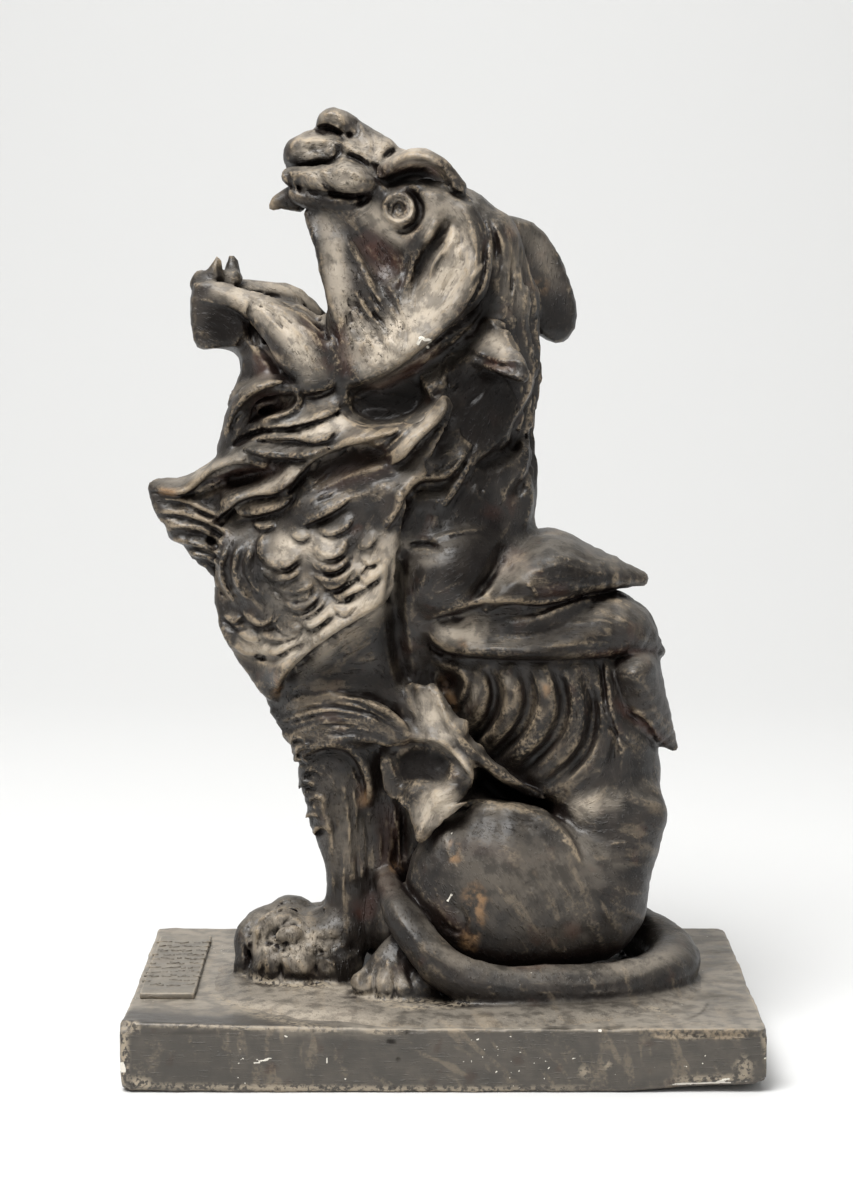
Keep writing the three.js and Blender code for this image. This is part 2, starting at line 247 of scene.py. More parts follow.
def sheet(clay, outline, thick, soft=3.0, bulge=0.0, inner=(), cut=False, smooth=3):
    """A slab cut to an outline of [column, row, depth], with more depths inside it where it isn't flat."""
    ring = np.array(outline, float)
    closed = curve(np.vstack([ring[-1], ring, ring[:2]]), smooth)[smooth:-smooth][:, :2] if smooth else ring[:, :2]
    margin = int(REACH / MM_PER_DOT) + 4
    low = np.floor(closed.min(0)).astype(int) - margin
    high = np.ceil(closed.max(0)).astype(int) + margin
    columns, rows = np.arange(low[0], high[0]), np.arange(low[1], high[1])
    edge = outline_distance(closed, columns, rows)
    known = np.array([*outline, *inner], float)
    weight = 0
    depth = 0
    for column, row, away in known:
        near = 1 / ((columns[None, :] - column) ** 2 + (rows[:, None] - row) ** 2 + 40.0) ** 1.5
        weight = weight + near
        depth = depth + near * away
    depth = depth / weight
    dome = np.clip(-edge / max(-edge.min(), 1), 0, 1)
    depth = depth - bulge * np.sqrt(1 - (1 - dome) ** 2)
    corners = np.array([seen(c, r, d) for c in (low[0], high[0]) for r in (low[1], high[1]) for d in (depth.min(), depth.max())])
    part, (x, y, z) = clay.window(corners.min(0) - thick - REACH, corners.max(0) + thick + REACH)
    if 0 in clay.field[part].shape:
        return
    column, row = shown(x, y, z)
    i = np.clip(np.round(row - low[1]).astype(int), 0, len(rows) - 1)
    j = np.clip(np.round(column - low[0]).astype(int), 0, len(columns) - 1)
    i, j = np.broadcast_arrays(i, j)
    slope_row, slope_column = np.gradient(depth)
    steep = np.sqrt(1 + (slope_row**2 + slope_column**2) / MM_PER_DOT**2)
    round_off = min(thick / 2, 3.0)
    across = edge[i, j] * MM_PER_DOT + round_off
    through = (np.abs(y - depth[i, j]) - thick / 2) / steep[i, j] + round_off
    outer = np.sqrt(np.maximum(across, 0) ** 2 + np.maximum(through, 0) ** 2)
    form = (outer + np.minimum(np.maximum(across, through), 0) - round_off).astype(np.float32)
    (clay.cut if cut else clay.add)(part, form, soft)


print("tools: limb, ball, sheet")

# %% [markdown]
# Carving. Locks of hair, scales, ribs and folds are too many and too thin to add one by one as lumps. They are
# drawn instead as strokes on a sheet as large as the picture, in millimetres that the surface stands out or lies
# in, and the whole sheet is then pressed into the clay from the viewer's side. A ledge is the stroke that makes
# carved hair and armour look right: it stands out along its edge, falls away slowly behind it and drops at once
# in front, so it catches light above and throws a shadow below. Its high side is on the left of its path.

# %% Tools that carve
class Carving:
    """A sheet of heights in millimetres by row and column, with the strokes that are drawn on it."""

    def __init__(self, columns=PICTURE[0], rows=PICTURE[1]):
        self.high = np.zeros((rows, columns), np.float32)
        self.strokes = []

    def near(self, points, reach, steps=6):
        """The part of the sheet round a path, how far each dot lies beside it and how far along it (0 to 1)."""
        line = curve(points, steps) if len(points) > 2 else np.array(points, float)
        self.strokes.append(line)
        rows, columns = self.high.shape
        x0, y0 = np.maximum(np.floor(line.min(0) - reach).astype(int), 0)
        x1, y1 = np.minimum(np.ceil(line.max(0) + reach).astype(int) + 1, (columns, rows))
        u, v = np.arange(x0, x1)[None, :], np.arange(y0, y1)[:, None]
        least = np.full((y1 - y0, x1 - x0), 1e9)
        beside = np.zeros(least.shape)
        along = np.zeros(least.shape)
        lengths = np.linalg.norm(np.diff(line, axis=0), axis=1)
        done = np.concatenate([[0], np.cumsum(lengths)])
        for k, (a, b) in enumerate(zip(line, line[1:])):
            ex, ey = b - a
            share = np.clip(((u - a[0]) * ex + (v - a[1]) * ey) / (ex * ex + ey * ey + 1e-9), 0, 1)
            dx, dy = u - a[0] - share * ex, v - a[1] - share * ey
            gap = dx * dx + dy * dy
            closer = gap < least
            least = np.where(closer, gap, least)
            turn = ex * (v - a[1]) - ey * (u - a[0])
            beside = np.where(closer, np.sqrt(gap) * np.where(turn < 0, -1, 1), beside)
            along = np.where(closer, (done[k] + share * lengths[k]) / done[-1], along)
        return (slice(y0, y1), slice(x0, x1)), beside, along

    def ridge(self, points, wide, high, ends=0.3):
        """A rounded line that stands out, thinner towards its ends."""
        part, beside, along = self.near(points, wide + 1)
        taper = np.clip(np.minimum(along, 1 - along) / max(ends, 1e-3), 0, 1) ** 0.5
        self.high[part] += high * taper * np.clip(1 - (beside / wide) ** 2, 0, 1) ** 1.5

    def groove(self, points, wide, deep, ends=0.3):
        self.ridge(points, wide, -deep, ends)

    def ledge(self, points, fall, high, under=0.0, ends=0.2):
        """An edge that stands out on its left, falls off over `fall` dots behind it and is undercut in front."""
        part, beside, along = self.near(points, 2.2 * fall)
        taper = np.clip(np.minimum(along, 1 - along) / max(ends, 1e-3), 0, 1) ** 0.7
        rise = np.clip(0.5 - beside / 1.6, 0, 1)
        top = rise * high * np.exp(-((np.minimum(beside, 0) / fall) ** 2))
        foot = (1 - rise) * 0.6 * under * np.exp(-((np.maximum(beside, 0) / (0.75 * fall)) ** 2))
        self.high[part] += taper * (top - foot)

    def dent(self, column, row, wide, deep):
        part, beside, along = self.near([(column - 0.1, row), (column + 0.1, row)], wide + 1)
        self.high[part] -= deep * np.clip(1 - (beside / wide) ** 2, 0, 1) ** 1.5

    def strands(self, first, last, count, wide, deep, seed, wander=0.35):
        """Grooves that run between two guide lines, of uneven length and spacing, like combed hair."""
        chance = np.random.default_rng(seed)
        a, b = (even_points(line, 24) for line in (first, last))
        for k in range(count):
            share = (k + 0.5 + chance.uniform(-wander, wander)) / count
            start, stop = chance.integers(0, 8), chance.integers(16, 25)
            line = (a + share * (b - a))[start:stop:3]
            line = line + chance.normal(0, 0.5, line.shape)
            self.groove(line, wide * chance.uniform(0.7, 1.3), deep * chance.uniform(0.6, 1.4), ends=0.4)


def even_points(line, count):
    """The same number of evenly spaced points along any path."""
    dense = curve(line, 8)
    done = np.concatenate([[0], np.cumsum(np.linalg.norm(np.diff(dense, axis=0), axis=1))])
    wanted = np.linspace(0, done[-1], count)
    return np.stack([np.interp(wanted, done, dense[:, k]) for k in (0, 1)], 1)


def sample(sheet_of_numbers, column, row):
    """The value of a sheet between its dots."""
    rows, columns = sheet_of_numbers.shape
    column = np.clip(column, 0, columns - 1.001)
    row = np.clip(row, 0, rows - 1.001)
    i, j = row.astype(int), column.astype(int)
    fi, fj = row - i, column - j
    top = sheet_of_numbers[i, j] * (1 - fj) + sheet_of_numbers[i, j + 1] * fj
    low = sheet_of_numbers[i + 1, j] * (1 - fj) + sheet_of_numbers[i + 1, j + 1] * fj
    return top * (1 - fi) + low * fi


PRESS_REACH = 12.0


def press(clay, heights, axis_sign=(1, -1)):
    """Presses a carving into the clay on the faces that look along an axis, by default towards the viewer."""
    axis, sign = axis_sign
    near = np.abs(clay.field) < PRESS_REACH
    near[[0, -1]] = near[:, [0, -1]] = near[:, :, [0, -1]] = False
    i, j, k = np.nonzero(near)
    slopes = []
    for step in np.eye(3, dtype=int):
        ahead = clay.field[i + step[0], j + step[1], k + step[2]]
        behind = clay.field[i - step[0], j - step[1], k - step[2]]
        slopes.append(ahead - behind)
    steep = np.sqrt(slopes[0] ** 2 + slopes[1] ** 2 + slopes[2] ** 2) + 1e-6
    facing = np.clip((sign * slopes[axis] / steep - 0.04) / 0.22, 0, 1)
    x, y, z = (line.ravel()[n] for line, n in zip(clay.lines, (i, j, k)))
    clay.field[i, j, k] -= (heights(x, y, z) * facing).astype(np.float32)


print("tools: ridge, groove, ledge, dent, strands, press")

# %% [markdown]
# Tool marks. A wooden tool drags fine streaks into clay along every stroke, and between strokes they turn from one
# way to the next. The strokes themselves tell which way each dot's streaks run, and noise that is smeared along
# that way gives the streaks. The marks are modelled where they are broad enough for the clay, and the finish uses
# the same directions for finer ones.

# %% Tools for tool marks
def blurred(sheet_of_numbers, wide):
    """A sheet smoothed over `wide` dots."""
    rows, columns = sheet_of_numbers.shape
    down = np.exp(-2 * (math.pi * wide * np.fft.fftfreq(rows)) ** 2)
    across = np.exp(-2 * (math.pi * wide * np.fft.rfftfreq(columns)) ** 2)
    return np.fft.irfft2(np.fft.rfft2(sheet_of_numbers) * down[:, None] * across, s=(rows, columns))


def stroke_angles(strokes):
    """Which way the strokes run near every dot, as an angle that is the same for both senses of a stroke."""
    lean = np.zeros((2, PICTURE[1], PICTURE[0]))
    for line in strokes:
        middle = np.round((line[1:] + line[:-1]) / 2).astype(int)
        step = np.diff(line, axis=0)
        twice = 2 * np.arctan2(step[:, 1], step[:, 0])
        length = np.linalg.norm(step, axis=1)
        np.add.at(lean[0], (middle[:, 1], middle[:, 0]), length * np.cos(twice))
        np.add.at(lean[1], (middle[:, 1], middle[:, 0]), length * np.sin(twice))
    close, wide = 6.0, 26.0
    total = [blurred(part, close) + 0.1 * blurred(part, wide) for part in lean]
    return np.arctan2(total[1], total[0]) / 2


def smeared(angle, grain, reach, seed):
    """Noise of a grain in dots, smeared along an angle for `reach` dots each way, with a spread of about 1."""
    speck = blurred(np.random.default_rng(seed).normal(size=angle.shape), grain).astype(np.float32)
    ways = np.stack([np.cos(angle), np.sin(angle)]).astype(np.float32)
    total = speck.copy()
    for sense in (1, -1):
        row, column = np.indices(angle.shape).astype(np.float32)
        heading = sense * ways
        for _ in range(reach):
            column += heading[0]
            row += heading[1]
            i = np.clip(row, 0, PICTURE[1] - 1).astype(np.int32)
            j = np.clip(column, 0, PICTURE[0] - 1).astype(np.int32)
            ahead = ways[:, i, j]
            heading = ahead * np.sign(ahead[0] * heading[0] + ahead[1] * heading[1] + 1e-6)
            total += speck[i, j]
    return total / total.std()


print("tools: stroke_angles, smeared")

# %% [markdown]
# The body. The trunk leans back from the haunches to the shoulders, the neck is a broad upright mass under the
# mane, and the belly and a web of clay fill the space between the legs, as on a cast that must not break.

# %% Body masses
TRUNK = [
    [602, 895, 15, 24, 48],
    [602, 830, 15, 32, 52],
    [573, 750, 15, 49, 47],
    [539, 672, 15, 58, 50],
    [508, 618, 15, 50, 50],
    [474, 575, 15, 36, 46],
    [448, 545, 15, 22, 34],
]
NECK = [
    [478, 300, 15, 36, 32],
    [440, 356, 15, 62, 38],
    [396, 430, 15, 79, 46],
    [388, 508, 15, 83, 50],
    [366, 580, 13, 72, 48],
    [340, 650, 11, 52, 40],
    [340, 700, 10, 34, 32],
]
BELLY = [[500, 880, 15, 40, 36], [424, 800, 15, 34, 28], [410, 700, 15, 36, 30]]
WEB = [[462, 905, 15, 32, 24], [376, 905, 15, 30, 12]]
FRINGE = [[392, 770, 8, 18, 22], [388, 830, 6, 14, 20], [388, 890, 4, 14, 22], [392, 930, -2, 14, 24]]
for stations in (TRUNK, NECK, BELLY, WEB, FRINGE):
    limb(half, stations, soft=10)
ball(half, [450, 572, -16], [31, 27, 34], 20, soft=10)
print("body massed out")

# %% Haunch and foreleg
THIGH = [[450, 880, -30, 38, 24], [504, 890, -32, 50, 32], [584, 894, -20, 39, 36]]
HIP = [[596, 866, -14, 30, 24], [629, 816, -12, 21, 22]]
HIND_FOOT = [[398, 940, -40, 5, 8], [394, 962, -46, 12, 12], [391, 986, -50, 20, 13]]
HIND_TOES = [[366, 984, -54], [386, 989, -58], [408, 989, -58], [424, 984, -54]]
FORELEG = [
    [366, 690, -8, 34, 22],
    [346, 748, -7, 28, 20],
    [342, 800, -6, 21, 17],
    [350, 860, -5, 15, 14],
    [350, 905, -4, 14, 13],
    [342, 935, -3, 15, 14],
]
limb(half, THIGH, soft=5)
limb(half, HIP, soft=8)
limb(half, HIND_FOOT, soft=4)
for toe in HIND_TOES:
    ball(half, toe, [7, 9, 8], 70, soft=3)
limb(half, FORELEG, soft=8)
print("haunch and foreleg added")

# %% Plates on the back
SHOULDER_PLATE = [[484, 596, 15, 8, 54], [538, 566, 15, 20, 54], [577, 568, 15, 15, 42], [641, 578, 15, 4, 8]]
MIDDLE_PLATE = [[470, 636, 15, 10, 56], [540, 636, 15, 15, 56], [612, 624, 15, 19, 44], [658, 651, 15, 4, 10]]
LOWER_PLATE = [[630, 664, 15, 17, 48], [642, 706, 15, 15, 34], [673, 746, 15, 3, 8]]
for stations in (SHOULDER_PLATE, MIDDLE_PLATE, LOWER_PLATE):
    limb(half, stations, soft=2)
ball(half, [462, 632, -22], [24, 10, 17], -4, soft=8)
print("back plates added")

# %% Head
SKULL = [[458, 262, 15, 38, 36], [400, 203, 15, 27, 32], [350, 170, 15, 22, 24], [318, 162, 15, 18, 19]]
limb(half, SKULL, soft=6)
SNOUT_TOP = [[352, 131, 15, 7, 13], [380, 150, 15, 8, 18]]
limb(half, SNOUT_TOP, soft=4)
ball(half, [313, 151, 10], [15.5, 9, 12], 3, soft=2)
ball(half, [298, 154, 9], [8, 9, 10], 0, soft=3)
ball(half, [338, 122, 12], [11, 7, 11], -14, soft=3)
ball(half, [326, 121, 12], [8, 4.5, 9], 58, soft=3)
CHEEK = [
    [304, 212, -6],
    [330, 210, -8],
    [360, 202, -11],
    [378, 188, -13],
    [420, 178, -16],
    [458, 190, -20],
    [478, 212, -22],
    [492, 252, -24],
    [484, 296, -27],
    [452, 326, -29],
    [412, 346, -29],
    [356, 384, -22],
    [340, 375, -20],
    [331, 322, -17],
    [316, 252, -12],
]
sheet(half, CHEEK, 12, soft=8, inner=[[378, 250, -12], [430, 230, -22], [350, 300, -17], [455, 260, -27]])
UPPER_LIP = [[295, 177, -2, 6, 11], [320, 180, -9, 8, 12], [347, 180, -14, 9.5, 13], [366, 185, -16, 6, 9]]
LOWER_LIP = [[300, 194, -3, 6, 9], [320, 200, -8, 6.5, 9], [344, 203, -11, 6, 8], [356, 200, -12, 3, 6]]
BROW = [[384, 172, -14, 4, 6], [402, 161, -18, 4.5, 8], [424, 157, -21, 4.5, 9], [442, 167, -22, 4, 7], [460, 187, -21, 3.5, 6]]
FANG = [[295, 198, 2, 8, 6], [281, 200, 1, 4.5, 4], [273, 206, 0, 2.8, 2.6]]
for stations in (UPPER_LIP, LOWER_LIP, BROW, FANG):
    limb(half, stations, soft=2)
print("head added")

# %% Mouth and jaw
MOUTH = [[262, 262, 16, 26, 14], [330, 280, 16, 26, 14], [366, 300, 16, 16, 13]]
limb(half, MOUTH, soft=2, cut=True)
CHIN = [[195, 284, 8], [240, 292, 4], [248, 338, 2], [212, 349, 6], [194, 341, 8]]
sheet(half, CHIN, 22, soft=3)
THROAT = [[243, 342, 6], [292, 350, 2], [304, 402, -2], [262, 408, 0], [232, 402, 4], [241, 372, 6]]
sheet(half, THROAT, 20, soft=4)
JAW_FLOOR = [[232, 322, 15, 12, 17], [290, 362, 15, 18, 26], [350, 420, 15, 26, 36]]
NEAR_RIM = [[204, 289, 6, 4, 6], [240, 299, -5, 6, 7], [272, 318, -13, 11, 8], [300, 348, -19, 15, 9], [316, 372, -21, 12, 8]]
JAW_END = [[292, 350, -17], [334, 342, -19], [341, 374, -20], [330, 388, -20], [312, 394, -19], [298, 391, -18]]
sheet(half, JAW_END, 12, soft=4, smooth=2)
JAW_HINGE = [[335, 320, -14, 5, 8], [338, 350, -17, 6, 9], [338, 380, -17, 6, 8]]
limb(half, JAW_HINGE, soft=6)
THROAT_LUMP = [[262, 352, 0, 8, 12], [270, 376, -4, 8, 10]]
limb(half, THROAT_LUMP, soft=3)
limb(half, JAW_FLOOR, soft=4)
limb(half, NEAR_RIM, soft=3)
print("mouth opened, jaw added")

# %% Mane, breastplate and the flaps at the elbow
LOCKS = [
    [[300, 386, -14, 4, 10], [252, 394, -9, 6, 14], [229, 446, 2, 6, 16]],
    [[312, 432, -18, 4, 10], [250, 458, -8, 9, 16], [214, 477, 0, 6, 11], [184, 488, 6, 4.5, 7], [155, 487, 8, 4, 5]],
]
for lock in LOCKS:
    limb(half, lock, soft=4)
MANE_MASS = [
    [246, 424, -4],
    [290, 414, -16],
    [345, 415, -26],
    [372, 436, -34],
    [400, 446, -38],
    [428, 420, -40],
    [444, 396, -40],
    [450, 420, -40],
    [404, 500, -42],
    [390, 560, -42],
    [330, 520, -36],
    [240, 516, -12],
    [222, 470, -2],
]
sheet(half, MANE_MASS, 12, soft=8, inner=[[330, 440, -30], [370, 480, -40]])
MANE_SADDLE = [[362, 438, -36, 6, 8], [386, 440, -40, 9, 9], [404, 436, -42, 7, 8]]
limb(half, MANE_SADDLE, soft=6)
THROAT_TUFT = [
    [151, 490, 10],
    [190, 492, 6],
    [236, 482, 2],
    [262, 520, 0],
    [228, 582, 4],
    [205, 566, 8],
    [192, 557, 9],
    [186, 546, 10],
    [170, 538, 10],
    [165, 522, 10],
    [156, 514, 10],
]
sheet(half, THROAT_TUFT, 20, soft=4)
SHIELD = [
    [236, 500, -4],
    [320, 480, -30],
    [400, 490, -44],
    [396, 550, -46],
    [388, 600, -48],
    [340, 627, -44],
    [292, 668, -30],
    [276, 702, -8],
    [240, 664, -2],
    [214, 600, 2],
]
sheet(half, SHIELD, 9, soft=3, inner=[[300, 570, -36], [250, 580, -22], [340, 560, -42]])
ELBOW_BAND = [
    [270, 702, 0],
    [300, 694, -18],
    [345, 693, -31],
    [385, 706, -37],
    [410, 730, -35],
    [402, 748, -33],
    [350, 740, -30],
    [304, 750, -16],
    [284, 736, -6],
]
sheet(half, ELBOW_BAND, 9, soft=5, inner=[[330, 720, -28], [370, 725, -35]])
WING = [
    [382, 728, -20],
    [410, 738, -28],
    [444, 744, -36],
    [474, 778, -46],
    [456, 806, -48],
    [420, 844, -48],
    [408, 812, -38],
    [384, 790, -26],
]
sheet(half, WING, 6, soft=2)
SHOULDER_SKIN = [
    [396, 686, -20],
    [430, 688, -28],
    [450, 722, -35],
    [474, 766, -40],
    [440, 754, -38],
    [412, 740, -31],
    [398, 716, -24],
]
sheet(half, SHOULDER_SKIN, 9, soft=4)
STRAP = [[432, 688, -29, 2.5, 4], [444, 708, -33, 3.5, 5], [474, 750, -34, 3.5, 5], [512, 782, -30, 3, 5], [548, 800, -26, 2, 4]]
limb(half, STRAP, soft=4)
print("mane, breastplate and flaps added")

# %% [markdown]
# Carve the near half. The strokes below follow the modelling region by region: the muzzle and the eye under its
# heavy brow, the folds of the cheek, the locks of the mane that overlap downwards, the scales of the breastplate,
# the skin at the shoulder and elbow, the plates of the back and the ribs.

# %% Strokes on the head
carving = Carving()
groove, ridge, ledge, dent, strands = carving.groove, carving.ridge, carving.ledge, carving.dent, carving.strands

# nose leather and the dome above it
groove([(286, 166), (298, 168), (310, 166), (322, 164), (334, 161), (341, 152), (339, 144)], 5, 3.5)
groove([(288, 163), (287, 172), (290, 182)], 3, 1.5)
groove([(300, 152), (310, 150), (320, 153), (330, 158)], 3, 0.4)
ridge([(298, 143), (312, 141), (326, 143), (334, 148)], 5, 1.5)
groove([(316, 130), (325, 127), (334, 130), (343, 136)], 3.5, 2.5)
dent(350, 135, 5, 2)
dent(343, 139, 3, 1.5)
ridge([(338, 113), (342, 121), (345, 129)], 3, 1.5)
groove([(355, 120), (358, 130), (356, 140)], 3, 1.5)
ridge([(290, 148), (296, 141), (306, 138)], 4, 1.5)
ridge([(312, 155), (322, 154), (332, 150)], 4, 1.3)
ridge([(322, 117), (330, 113), (340, 113)], 5, 1.5)
groove([(330, 122), (340, 124), (348, 130)], 2.5, 1.5)
# creases of the snout
groove([(366, 130), (372, 138), (374, 148), (372, 160)], 2.5, 1.6)
groove([(396, 149), (388, 155), (381, 161)], 4, 2.5)
ridge([(342, 142), (356, 150), (368, 160), (376, 172)], 5, 1.5)
groove([(345, 155), (358, 160), (370, 168), (377, 175)], 3, 1.5)
groove([(370, 162), (377, 168), (384, 175)], 4, 3)
# whisker pads and lip
groove([(312, 168), (320, 176), (327, 187), (340, 194), (352, 196), (364, 194), (373, 187)], 4, 1.8)
ridge([(330, 172), (342, 168), (356, 172), (366, 180)], 7, 1.5)
for column, row in ((344, 172), (352, 178), (347, 183), (358, 173), (361, 181), (366, 176), (338, 178)):
    dent(column, row, 2.2, 1.3)
groove([(296, 186), (308, 190), (322, 192), (336, 196), (350, 197)], 3.5, 0.8)
groove([(356, 208), (366, 201), (374, 192)], 4, 1.5)
strands([(288, 176), (292, 190), (300, 204)], [(300, 170), (305, 182), (316, 196)], 4, 2.5, 1.2, 2)
# eye and brow
eye_ring = [(399 + 14 * math.cos(a), 208 + 14 * math.sin(a)) for a in np.linspace(0, 2 * math.pi, 13)]
ridge(eye_ring, 3.2, 3, ends=0)
dent(399, 209, 12, 2.5)
ridge([(391, 214), (392, 204), (400, 200), (407, 206), (404, 214), (397, 214), (398, 208)], 2.2, 2.5, ends=0.1)
groove([(407, 190), (417, 199), (421, 211), (416, 224), (403, 231), (393, 227)], 5.5, 5.5)
ridge([(418, 195), (432, 200), (442, 212)], 12, 2)
ledge([(392, 168), (402, 161), (414, 158), (427, 160), (440, 166), (448, 174)], 8, 2.5, under=2)
groove([(384, 187), (400, 178), (420, 175), (440, 181), (450, 188)], 10, 6)
groove([(446, 187), (454, 193), (462, 197), (472, 203)], 4, 4)
ridge([(420, 193), (436, 194), (450, 200)], 6, 1.5)
groove([(454, 176), (464, 188), (474, 200)], 2.5, 1.2)
# folds and hollow of the cheek
groove([(448, 212), (444, 228), (436, 246), (424, 264), (415, 285), (410, 305)], 9, 4.5)
groove([(430, 238), (424, 254), (418, 274)], 8, 3)
ridge([(462, 205), (472, 230), (474, 258), (466, 282)], 5, 1.5)
ridge([(470, 279), (480, 268), (488, 261)], 3, 2)
groove([(478, 210), (486, 235), (484, 262), (474, 290)], 4, 2)
groove([(488, 216), (496, 240), (494, 268)], 3.5, 1.8)
ridge([(437, 220), (428, 234), (422, 243)], 3, 2)
ridge([(450, 243), (441, 253), (434, 264), (430, 279)], 3, 2.5)
groove([(447, 244), (437, 254), (430, 266), (426, 280)], 4, 3.5)
groove([(444, 220), (456, 226), (460, 240), (452, 254)], 4, 1.8)
groove([(334, 320), (338, 345), (342, 378)], 9, 1.5)
strands([(326, 318), (334, 345), (338, 378)], [(344, 320), (348, 348), (352, 380)], 5, 2.5, 1.2, 10)
groove([(447, 220), (442, 234), (432, 250)], 6, 3)
groove([(360, 228), (372, 245), (386, 262), (396, 280)], 22, 4)
ridge([(343, 238), (356, 256), (366, 276), (380, 300), (396, 322)], 5, 1.8)
ridge([(312, 215), (322, 245), (328, 275), (336, 310), (342, 350)], 9, 1.5)
strands([(350, 290), (362, 310), (378, 330), (395, 350)], [(385, 270), (398, 295), (410, 320)], 6, 2.5, 1, 3)
ridge([(448, 198), (466, 216), (474, 240), (473, 262), (463, 284), (452, 305), (438, 322)], 10, 2.5)
strands([(480, 215), (492, 245), (488, 280)], [(498, 230), (502, 260), (496, 285)], 4, 3, 1.2, 8)
strands([(502, 235), (508, 280), (500, 330)], [(545, 250), (548, 300), (534, 345)], 10, 3.5, 1.3, 9)
strands([(352, 392), (376, 402), (402, 396)], [(354, 414), (382, 416), (410, 406)], 5, 3, 1.6, 97)
groove([(350, 400), (400, 384), (440, 362), (478, 334), (505, 300)], 15, 7)
groove([(348, 402), (385, 404), (425, 388)], 22, 8)
strands([(440, 205), (455, 240), (452, 270), (430, 310)], [(478, 225), (488, 260), (478, 295), (440, 325)], 9, 2.5, 1, 4)
strands([(345, 330), (360, 350), (375, 365)], [(395, 300), (410, 330), (405, 350)], 8, 3, 1.2, 5)
ledge([(352, 386), (380, 377), (402, 364), (420, 350), (440, 334), (460, 314), (476, 290), (486, 262)], 14, 3.5, under=3)
groove([(410, 250), (406, 272), (398, 292)], 4, 2)
groove([(392, 318), (402, 330), (406, 344)], 5, 1.5)
# chin and the near rim of the jaw
ledge([(196, 300), (215, 304), (236, 310), (252, 322)], 10, 1.5, under=1)
groove([(212, 286), (235, 292), (262, 306), (290, 330)], 3, 1)
strands([(240, 300), (262, 325), (285, 365)], [(262, 296), (300, 325), (330, 368)], 5, 3, 0.9, 6)
groove([(254, 300), (250, 330), (262, 350), (284, 372)], 5, 2)
groove([(298, 394), (315, 397), (332, 390), (341, 376)], 4, 2)
dent(308, 385, 3, 1.5)
dent(322, 380, 3, 1.2)
strands([(300, 312), (318, 330), (330, 345)], [(312, 304), (328, 322), (336, 340)], 4, 2, 0.8, 7)
print("head carved")

# %% Strokes on the mane
ledge([(228, 440), (232, 420), (242, 404), (256, 393), (272, 386), (292, 381)], 12, 3, under=3)
dent(268, 404, 16, 1.5)
ridge([(296, 388), (299, 400), (290, 412), (272, 418), (254, 424)], 4, 3)
ledge([(240, 441), (252, 432), (268, 429), (290, 427), (318, 420), (345, 408)], 9, 3, under=3)
ledge([(250, 440), (272, 440), (295, 440), (315, 443), (338, 438)], 8, 3, under=3)
ledge([(240, 449), (262, 456), (288, 459), (312, 457), (332, 446)], 10, 4, under=5)
ledge([(152, 490), (175, 495), (190, 491), (203, 480), (216, 470), (238, 463), (262, 466)], 12, 4, under=6)
ledge([(210, 524), (224, 514), (238, 502), (255, 496), (275, 494), (290, 484), (302, 470)], 12, 5, under=5)
ledge([(250, 516), (268, 513), (286, 506), (296, 494)], 9, 4, under=4)
ledge([(283, 500), (292, 486), (303, 471), (318, 458), (345, 447), (372, 440), (400, 432)], 14, 5, under=6)
ledge([(390, 466), (404, 458), (416, 444), (428, 432), (441, 420), (448, 407), (445, 394)], 14, 6, under=6)
ledge([(384, 532), (396, 516), (403, 502), (402, 488)], 14, 3, under=3)
groove([(190, 494), (215, 484), (245, 478), (285, 472)], 10, 4)
groove([(310, 478), (340, 466), (370, 456), (392, 456)], 14, 5)
ledge([(300, 528), (322, 518), (340, 508), (352, 498)], 8, 3, under=3)
ledge([(160, 500), (185, 503), (205, 512), (224, 520)], 6, 2.5, under=2)
ledge([(160, 513), (185, 516), (210, 525), (226, 534)], 6, 3, under=2)
ledge([(170, 528), (190, 529), (208, 535), (222, 548)], 6, 3, under=2)
ledge([(172, 541), (192, 546), (210, 551), (224, 560)], 6, 3, under=2)
ledge([(188, 556), (205, 559), (222, 568)], 6, 2.5, under=2)
dent(212, 541, 6, 5)
strands([(400, 400), (370, 420), (330, 440), (300, 458)], [(440, 402), (412, 430), (385, 455), (340, 470)], 9, 3, 1.3, 11)
strands([(395, 450), (360, 460), (325, 478), (300, 500)], [(400, 485), (370, 492), (335, 500), (300, 515)], 9, 3, 1.6, 12)
strands([(330, 405), (300, 415), (262, 426), (240, 442)], [(345, 428), (310, 440), (270, 444), (236, 452)], 6, 2.5, 1, 13)
strands([(260, 462), (225, 470), (190, 492)], [(285, 480), (240, 492), (205, 512)], 5, 3, 1.2, 14)
strands([(290, 395), (262, 400), (240, 425), (226, 450)], [(290, 384), (255, 388), (235, 405), (222, 440)], 5, 2.5, 1, 15)
# nape and the side of the neck
groove([(352, 398), (378, 412), (404, 404), (426, 388)], 22, 8)
strands([(445, 345), (440, 370), (430, 392)], [(500, 385), (480, 400), (460, 420)], 7, 3.5, 1.5, 24)
ledge([(498, 451), (509, 441), (512, 426), (521, 410), (531, 392), (536, 368)], 16, 3.5, under=4)
strands([(526, 360), (524, 390), (508, 420)], [(538, 360), (535, 392), (518, 418)], 4, 2, 1.3, 25)
groove([(478, 470), (495, 458), (512, 446), (522, 430)], 14, 4.5)
ledge([(445, 508), (458, 490), (470, 470), (484, 456), (500, 445)], 14, 3.5, under=4)
ledge([(398, 512), (410, 490), (424, 480), (446, 478), (462, 462), (474, 444)], 14, 4, under=4)
groove([(412, 492), (430, 488), (450, 492)], 12, 3.5)
strands([(412, 482), (430, 472), (450, 455)], [(440, 480), (458, 462), (470, 444)], 4, 2.5, 1.4, 26)
strands([(462, 500), (474, 476), (490, 456)], [(490, 500), (494, 480), (502, 462)], 4, 3, 1.2, 27)
ledge([(521, 482), (527, 470), (530, 455), (528, 436)], 9, 2.5, under=3)
strands([(520, 415), (524, 440), (524, 470)], [(530, 412), (532, 440), (531, 465)], 3, 2, 1.2, 28)
